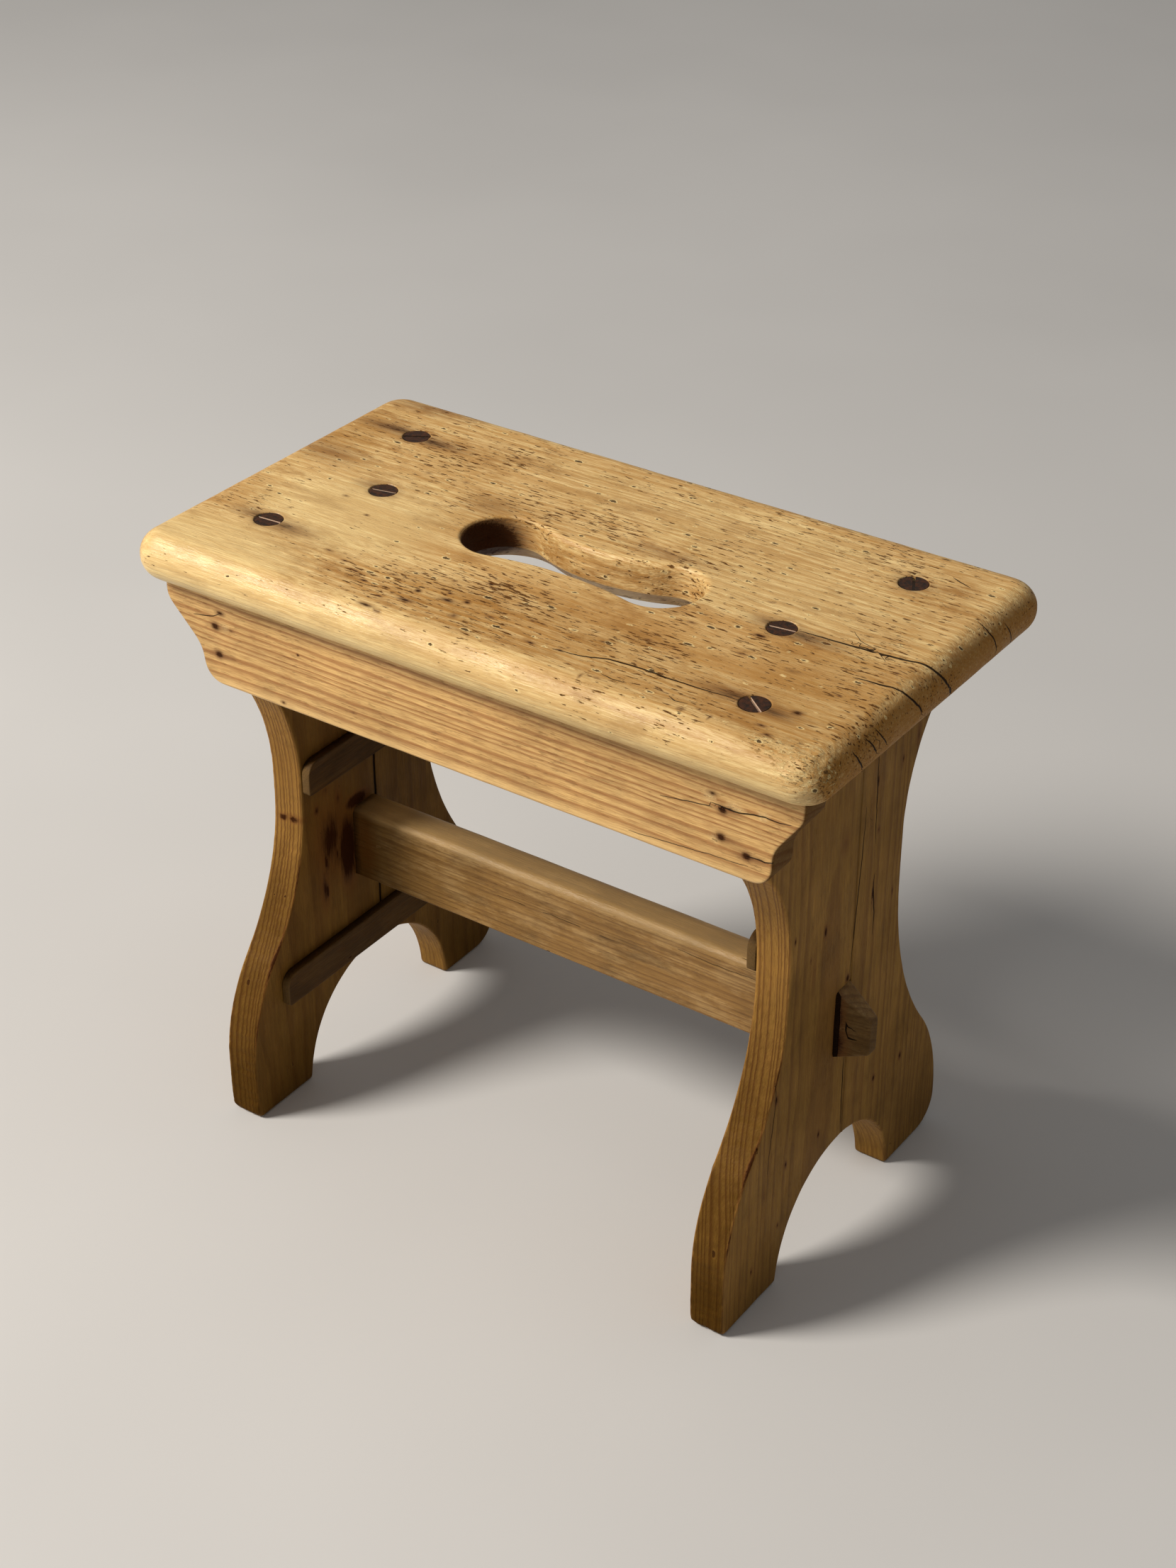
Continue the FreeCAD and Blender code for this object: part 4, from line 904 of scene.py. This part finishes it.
def left_end_marks(points, normals):
    """The open seam and dark places of the inside, and the nail holes in the front edge."""
    cracks = cracks_on(lambda y, z: (-END_INSIDE, y, z), (
        ([(28.0, 240.0), (27.0, 215.0), (28.5, 190.0)], 0.2, False),
        ([(SEAM, 176.0), (SEAM, 100.0), (SEAM, 74.0), (SEAM, 20.0)], 0.7, True),
    ))
    dark_spots = [(spot, (2.6, 5, 2.4), 1.3) for spot in EDGE_NAILS] + [((-128.5, -50.5, 149.5), (9, 6, 2.2), 0.6)]
    dark_spots += [((-END_INSIDE, y, z), (4, wide, tall), depth) for y, z, wide, tall, depth in LEFT_SPOTS]
    return {**cracks_near(points, normals, cracks), **end_wear(points, normals, dark_spots)}


def end_wear(points, normals, dark_spots):
    """Dirt low on the feet and in the seam of the two boards; painted shade up under the seat and on the
    inside of the left end; stains, and dirt along the chipped arris;
    the front edges are rubbed pale with painted light down to the knee, and below it darkened with
    painted shade and rippled by the saw."""
    x, y, z = points.T
    outward, forward = normals[:, 0] * np.sign(x), -normals[:, 1]
    # high: painted shade up under the seat
    low, high = 1 - smooth_step(z, 4, 60), smooth_step(z, 238, 280)
    seam = 1 - smooth_step(np.abs(y - SEAM), 0.3, 1.5)
    # painted shade on the inside face of the left end
    inside_shade = smooth_step(-outward, 0.5, 0.9)
    front_edge = smooth_step(forward, 0.5, 0.9) * (y < -30)
    # painted shade: the front edges darker below the knee
    low_edge_shade = front_edge * (1 - smooth_step(z, 85, 165))
    turned = smooth_step(forward, 0.15, 0.4) * (1 - smooth_step(forward, 0.75, 0.95))
    chips = 0.85 + 0.15 * np.sin(z / 6.0)
    arris = turned * chips * (y < -30) * smooth_step(z, 25, 55) * (1 - smooth_step(z, 110, 175)) * (normals[:, 0] > 0)
    grime = 0.3 * low + 0.5 * high + 0.5 * seam + 0.5 * inside_shade * (x < 0) + 0.78 * low_edge_shade
    ripple = (1 - smooth_step(z, 120, 190)) * (0.45 + 0.3 * np.sin(z * math.tau / SAW_PITCH))
    return {
        "stain": np.maximum(dark_spots_near(points, dark_spots), 2.0 * arris - 1),
        "grime": np.clip(grime, 0, 1),
        "polish": 0.22 * front_edge * smooth_step(z, 110, 180),
        # painted light with the rubbing: front edges paler higher up
        "busy": 1.5 * front_edge,
        "chewed": front_edge * (0.2 + ripple),
    }


def end_board(name, side, half, node):
    """Half of an end: side is -1 left or 1 right, half is -1 front or 1 back."""
    form = BACK_EDGE if half > 0 else RIGHT_FRONT_EDGE if side > 0 else LEFT_FRONT_EDGE
    crown = math.degrees(math.acos(half * SEAM / ARCH[side]))
    points = arc((0, 0), ARCH[side], crown, 0) + shaped_edge(form) + [(half * SEAM, SEAT_LOW)]
    if half < 0:
        points += [
            (half * SEAM, MORTISE_HIGH), (-MORTISE_FRONT, MORTISE_HIGH),
            (-MORTISE_FRONT, MORTISE_LOW), (half * SEAM, MORTISE_LOW),
        ]
    points = [(half * y, z) for y, z in points]
    loop = rubbed(points if half > 0 else points[::-1], step=1.5, passes=2)
    # sharp where it meets another piece, rounded elsewhere and most of all at the foot
    at_seam = np.abs(loop[:, 0] - SEAM) < 0.6
    top = loop[:, 1] > (APRON_LOW if half < 0 else SEAT_LOW - 2)
    mouth = (np.abs(loop - MORTISE_MIDDLE) < (7, 19)).all(1)
    foot = np.clip(1 - loop[:, 1] / 14, 0, 1)
    soft = np.where(at_seam | top | mouth, END_SHARP, END_ARRIS + FOOT_ARRIS_MORE * foot)
    spots, marks = (RIGHT_SPOTS, right_end_marks) if side > 0 else (LEFT_SPOTS, left_end_marks)
    board = Board(2.0, 11 + side + 2 * half, [spot[:2] for spot in spots])
    inner, outer = (END_INSIDE, END_OUTSIDE) if side > 0 else (-END_OUTSIDE, -END_INSIDE)
    board.slab(loop, outer, inner, soft, soft)
    piece(name, board, lambda u, v, w: (w, u, v), end_pine, node, marks)


SIDES = (("left", -1), ("right", 1))
for word, side in SIDES:
    end_board(f"{word}_front_end", side, -1, f"{word}_front_board")
    end_board(f"{word}_back_end", side, 1, f"{word}_back_board")


# ---------------------------------------------------------------- laths and cleats
def lath(name, side, form, node):
    """Thin strip nailed across the seam inside an end, with its upper corners rounded."""
    front, back, low, high = form
    loop = rubbed(filleted([
        (front, low, 0.6), (back, low, 0.6), (back, high, LATH_ROUND), (front, high, LATH_ROUND),
    ]), step=1.2, passes=1)
    board = Board(2.2, 21 + side)
    inner, outer = (LATH_FACE, END_INSIDE) if side > 0 else (-END_INSIDE, -LATH_FACE)
    board.slab(loop, outer, inner, LATH_ARRIS, LATH_ARRIS, steps=4)
    piece(name, board, lambda u, v, w: (w, u, v), lath_pine, node, lath_marks, rough=LATH_WEAR)


def lath_marks(points, normals):
    """Sawn front ends made pale as painted light; painted shade in the corner against the end board."""
    sawn = smooth_step(-normals[:, 1], 0.6, 0.95)
    corner = smooth_step(np.abs(points[:, 0]), LATH_FACE + 1, END_INSIDE) * (1 - sawn)
    return {"polish": sawn, "grime": corner}


for word, side in SIDES:
    lath(f"{word}_high_lath", side, UPPER_LATH, f"{word}_upper_lath")
    lath(f"{word}_low_lath", side, LOWER_LATH, f"{word}_lower_lath")


def cleat(name, side, node):
    """Strip under the seat that takes the middle screw."""
    loop = rubbed([
        (CLEAT_INSIDE, -APRON_BACK), (END_INSIDE, -APRON_BACK), (END_INSIDE, APRON_BACK), (CLEAT_INSIDE, APRON_BACK),
    ], step=2.0, passes=1)
    board = Board(3.0, 31 + side)
    board.slab(loop, SEAT_LOW, CLEAT_LOW, 0.5, 1.0, steps=4)
    piece(name, board, lambda u, v, w: (side * u, v, w), lath_pine, node, rough=LATH_WEAR)


for word, side in SIDES:
    cleat(f"{word}_seat_cleat", side, f"{word}_cleat")


# ---------------------------------------------------------------- stretcher
def section(front, back, low, high, top_round, foot_round):
    """Rounded cross-section, always with the same number of points."""
    corners, points = [], []
    for first, y, z, radius in (
        (0, back - top_round, high - top_round, top_round), (90, front + top_round, high - top_round, top_round),
        (180, front + foot_round, low + foot_round, foot_round), (270, back - foot_round, low + foot_round, foot_round),
    ):
        turn = np.radians(np.linspace(first, first + 90, 6))
        corners.append(np.column_stack([y + radius * np.cos(turn), z + radius * np.sin(turn)]))
    for corner, after in zip(corners, corners[1:] + corners[:1]):
        points += [*corner, *(corner[-1] + (after[0] - corner[-1]) * share for share in (0.25, 0.5, 0.75))]
    return np.array(points)


def stretcher_marks(points, normals):
    """Cracks, painted shade in the gaps round the tenons and on their sides, a pale worn top, and darker towards the
    ends.
    """
    cracks = [
        ([(142.5, TENON_FRONT, 113.5), (148.0, -6.9, 113.6), (151.0, -5.7, 112.6)], 0.6, True),
        # painted shade: a dark line down the gap in front of the tenon
        ([(142.4, TENON_FRONT, 100.0), (142.6, TENON_FRONT, 120.0), (142.4, TENON_FRONT, 160.0)], 1.6, True),
        ([(96.0, BAR_FRONT + 2, BAR_TOP), (110.0, BAR_FRONT + 3, BAR_TOP), (124.0, BAR_FRONT + 3, BAR_TOP)],
         0.4, False),
        ([(-40.0, BAR_FRONT, 121.0), (-5.0, BAR_FRONT, 122.0), (34.0, BAR_FRONT, 121.2)], 0.15, False),
        ([(60.0, BAR_FRONT, 131.0), (84.0, BAR_FRONT, 130.2), (108.0, BAR_FRONT, 131.0)], 0.15, False),
    ]
    # painted shade in the gap where the tenon leaves the mortise
    dark_spots = [
        ((END_OUTSIDE + 0.5, TENON_FRONT, 110.0), (7, 5, 15), 1.0),
        ((END_OUTSIDE + 1, TENON_FRONT, 128.0), (4.5, 5, 12), 0.9),
        ((118.0, BAR_FRONT + 3, BAR_TOP), (12, 5, 3), 0.7), ((-118.0, BAR_FRONT, 120.0), (8, 3, 26), 0.5),
    ]
    # rubbed pale along the worn top, dark where it meets the ends and darker on the left
    x, _, z = points.T
    between = np.abs(x) < END_INSIDE + 0.5
    worn = smooth_step(z, BAR_TOP - 5, BAR_TOP - 1) * between
    ends = smooth_step(np.abs(x), END_INSIDE - 22, END_INSIDE) * between
    left = 0.62 * (1 - smooth_step(x, -125, -20)) * (1 - worn)
    # painted shade on the tenon's sides, less on its top
    tenon_side_shade = (np.abs(x) > END_OUTSIDE - 1) * (1 - 0.6 * smooth_step(normals[:, 2], 0.3, 0.7))
    return {
        **cracks_near(points, normals, cracks),
        "stain": dark_spots_near(points, dark_spots),
        "polish": 0.8 * worn,
        "grime": np.clip(0.6 * ends + left + 0.75 * tenon_side_shade, 0, 1),
    }


def stretcher_bar():
    """Bar between the ends, with a tenon at each end that tapers to its whittled tip."""
    board = Board()
    bar = section(BAR_FRONT, BAR_BACK, BAR_LOW, BAR_TOP, BAR_TOP_ROUND, BAR_FOOT_ROUND)
    tenon = section(TENON_FRONT, TENON_BACK, TENON_LOW, TENON_HIGH, TENON_ROUND, TENON_ROUND)
    end = section(TIP_FRONT, TENON_BACK, TIP_LOW, TIP_HIGH, 1.6, 1.2)
    middle = end.mean(0)
    tip = [(END_INSIDE + (END_OUTSIDE - END_INSIDE) * share, tenon) for share in (0.0, 0.5, 1.0)]
    for share in np.linspace(0.12, 0.93, 7):
        tip.append((END_OUTSIDE + (TIP_OUT - END_OUTSIDE) * share, section(
            TENON_FRONT + (TIP_FRONT - TENON_FRONT) * share, TENON_BACK,
            TENON_LOW + (TIP_LOW - TENON_LOW) * share, TENON_HIGH + (TIP_HIGH - TENON_HIGH) * share,
            TENON_ROUND + 0.8 * share, TENON_ROUND + 0.4 * share,
        )))
    # the tip's small face, closed in rings towards its middle
    for x, share in ((TIP_OUT - 0.3, 0.98), (TIP_OUT, 0.88), (TIP_OUT, 0.65), (TIP_OUT, 0.4), (TIP_OUT, 0.15)):
        tip.append((x, end * share + middle * (1 - share)))
    stations = [(-x, shape) for x, shape in reversed(tip)]
    stations += [(END_INSIDE * (2 * share - 1), bar) for share in np.linspace(0, 1, 60)] + tip
    rows = [board.add(shape, x, 0.2) for x, shape in stations]
    for upper, lower in zip(rows, rows[1:]):
        board.band(upper, lower)
    board.faces += [rows[0], rows[-1][::-1]]
    piece("stretcher_rail", board, lambda u, v, w: (w, u, v), stretcher_pine, "stretcher",
          stretcher_marks)


stretcher_bar()


# ---------------------------------------------------------------- screws and nails
def rusted(name, bare, rust, roughness, metal, slot_glint=0.0):
    """Iron gone brown with age: dark oxide all over, redder rust in patches 2 mm across, and a
    painted highlight, a pale line in the slots of the screws nearest the front."""
    material, tree = blank_material(name)
    place = add(tree, "ShaderNodeTexCoord").outputs["Object"]
    spots = add(tree, "ShaderNodeTexNoise", {
        "Vector": place, "Scale": 450.0, "Detail": 5.0, "Roughness": 0.6,
    })
    spot = add(tree, "ShaderNodeSeparateXYZ", {"Vector": place})
    share, sunk, front, coarse = (
        add(tree, "ShaderNodeMapRange", {
            "Value": value, "From Min": start, "From Max": full, "To Min": least, "To Max": most,
        })
        for value, start, full, least, most in (
            (spots, 0.4, 0.62, 0.0, 1.0), (spot.outputs["Z"], 304.55 * MM, 304.2 * MM, 0.0, slot_glint),
            (spot.outputs["Y"], 10 * MM, 0.0, 0.12, 1.0), (spots, 0.0, 1.0, roughness - 0.15, roughness + 0.2),
        )
    )
    colour = add(tree, "ShaderNodeMix", {0: share, 6: linear(bare), 7: linear(rust)}, data_type="RGBA").outputs[2]
    # painted highlight: a pale line along the slots of the front screws
    painted_slot_glint = add(tree, "ShaderNodeMath", {0: sunk, 1: front}, operation="MULTIPLY")
    colour = add(tree, "ShaderNodeMix", {0: painted_slot_glint, 6: colour, 7: linear("#e0c6ae")}, data_type="RGBA").outputs[2]
    bump = add(tree, "ShaderNodeBump", {"Height": spots, "Distance": 0.3 * MM})
    iron = add(tree, "ShaderNodeBsdfPrincipled", {
        "Base Color": colour, "Roughness": coarse, "Metallic": metal, "Normal": bump, "Specular IOR Level": 0.3,
    })
    add(tree, "ShaderNodeOutputMaterial", {"Surface": iron})
    return material


screw_steel = rusted("blackened_steel_screw", "#241509", "#472610", 0.42, 0.0, slot_glint=0.95)
nail_iron = rusted("rusted_iron_nail", "#2c160c", "#50260f", 0.6, 0.2)
for node, material, slot in (
    ("seat_screws", screw_steel, "screw_steel"),
    ("apron_nails", nail_iron, "nail_iron"),
    ("lath_nails", nail_iron, "nail_iron"),
):
    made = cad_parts[node]
    for n in range(max(1, len(made.material_slots))):
        if not made.material_slots:
            made.data.materials.append(material)
        made.material_slots[n].material = material


# ---------------------------------------------------------------- floor, light and camera
def studio_floor():
    """Plain pale floor, wide enough for every view."""
    mesh = bpy.data.meshes.new("studio_floor")
    shape = bmesh.new()
    bmesh.ops.create_grid(shape, x_segments=4, y_segments=4, size=FLOOR_HALF)
    shape.to_mesh(mesh)
    shape.free()
    floor = placed("studio_floor", mesh)
    material, tree = blank_material("pale_painted_floor")
    place = add(tree, "ShaderNodeTexCoord").outputs["Object"]
    cloud = add(tree, "ShaderNodeTexNoise", {"Vector": place, "Scale": 2.0, "Detail": 3.0})
    shade = add(tree, "ShaderNodeValToRGB", {"Fac": cloud}, stops=((0.3, "#cbcac9"), (0.7, "#d3d2d1")))
    paint = add(tree, "ShaderNodeBsdfPrincipled", {"Base Color": shade, "Roughness": 0.8})
    add(tree, "ShaderNodeOutputMaterial", {"Surface": paint})
    mesh.materials.append(material)


def soft_light(name, at, target, width, power, tint):
    """Round lamp that faces a target."""
    lamp = bpy.data.lights.new(name, "AREA")
    lamp.shape, lamp.size = "DISK", width
    lamp.energy, lamp.color = power, linear(tint)[:3]
    made = placed(name, lamp)
    made.location = at
    made.rotation_euler = (Vector(target) - Vector(at)).to_track_quat("-Z", "Y").to_euler()


def studio_world():
    """Pale backdrop for the camera, and a dimmer even light for everything else."""
    world = bpy.data.worlds.new("studio")
    scene.world = world
    world.use_nodes = True
    tree = world.node_tree
    tree.nodes.clear()
    path = add(tree, "ShaderNodeLightPath")
    light = add(tree, "ShaderNodeBackground", {"Color": linear("#f6f4f1"), "Strength": EVEN_LIGHT})
    back = add(tree, "ShaderNodeBackground", {"Color": linear("#d8d6d2"), "Strength": BACKDROP})
    both = add(tree, "ShaderNodeMixShader", {0: path.outputs["Is Camera Ray"], 1: light, 2: back})
    add(tree, "ShaderNodeOutputWorld", {"Surface": both})


def camera():
    """Camera where the photograph was taken from."""
    lens = bpy.data.cameras.new("camera")
    lens.lens, lens.sensor_width, lens.sensor_fit = LENS, SENSOR, "AUTO"
    made = placed("camera", lens)
    made.location = CAMERA_AT
    made.rotation_euler = Vector(CAMERA_AIM).to_track_quat("-Z", "Y").to_euler()
    scene.camera = made


studio_floor()
studio_world()
soft_light("window_light", (-1.5, -1.5, 2.1), (0, 0, 0.2), 0.9, 90.0, "#fff8ee")
camera()
scene.view_settings.view_transform = "Standard"
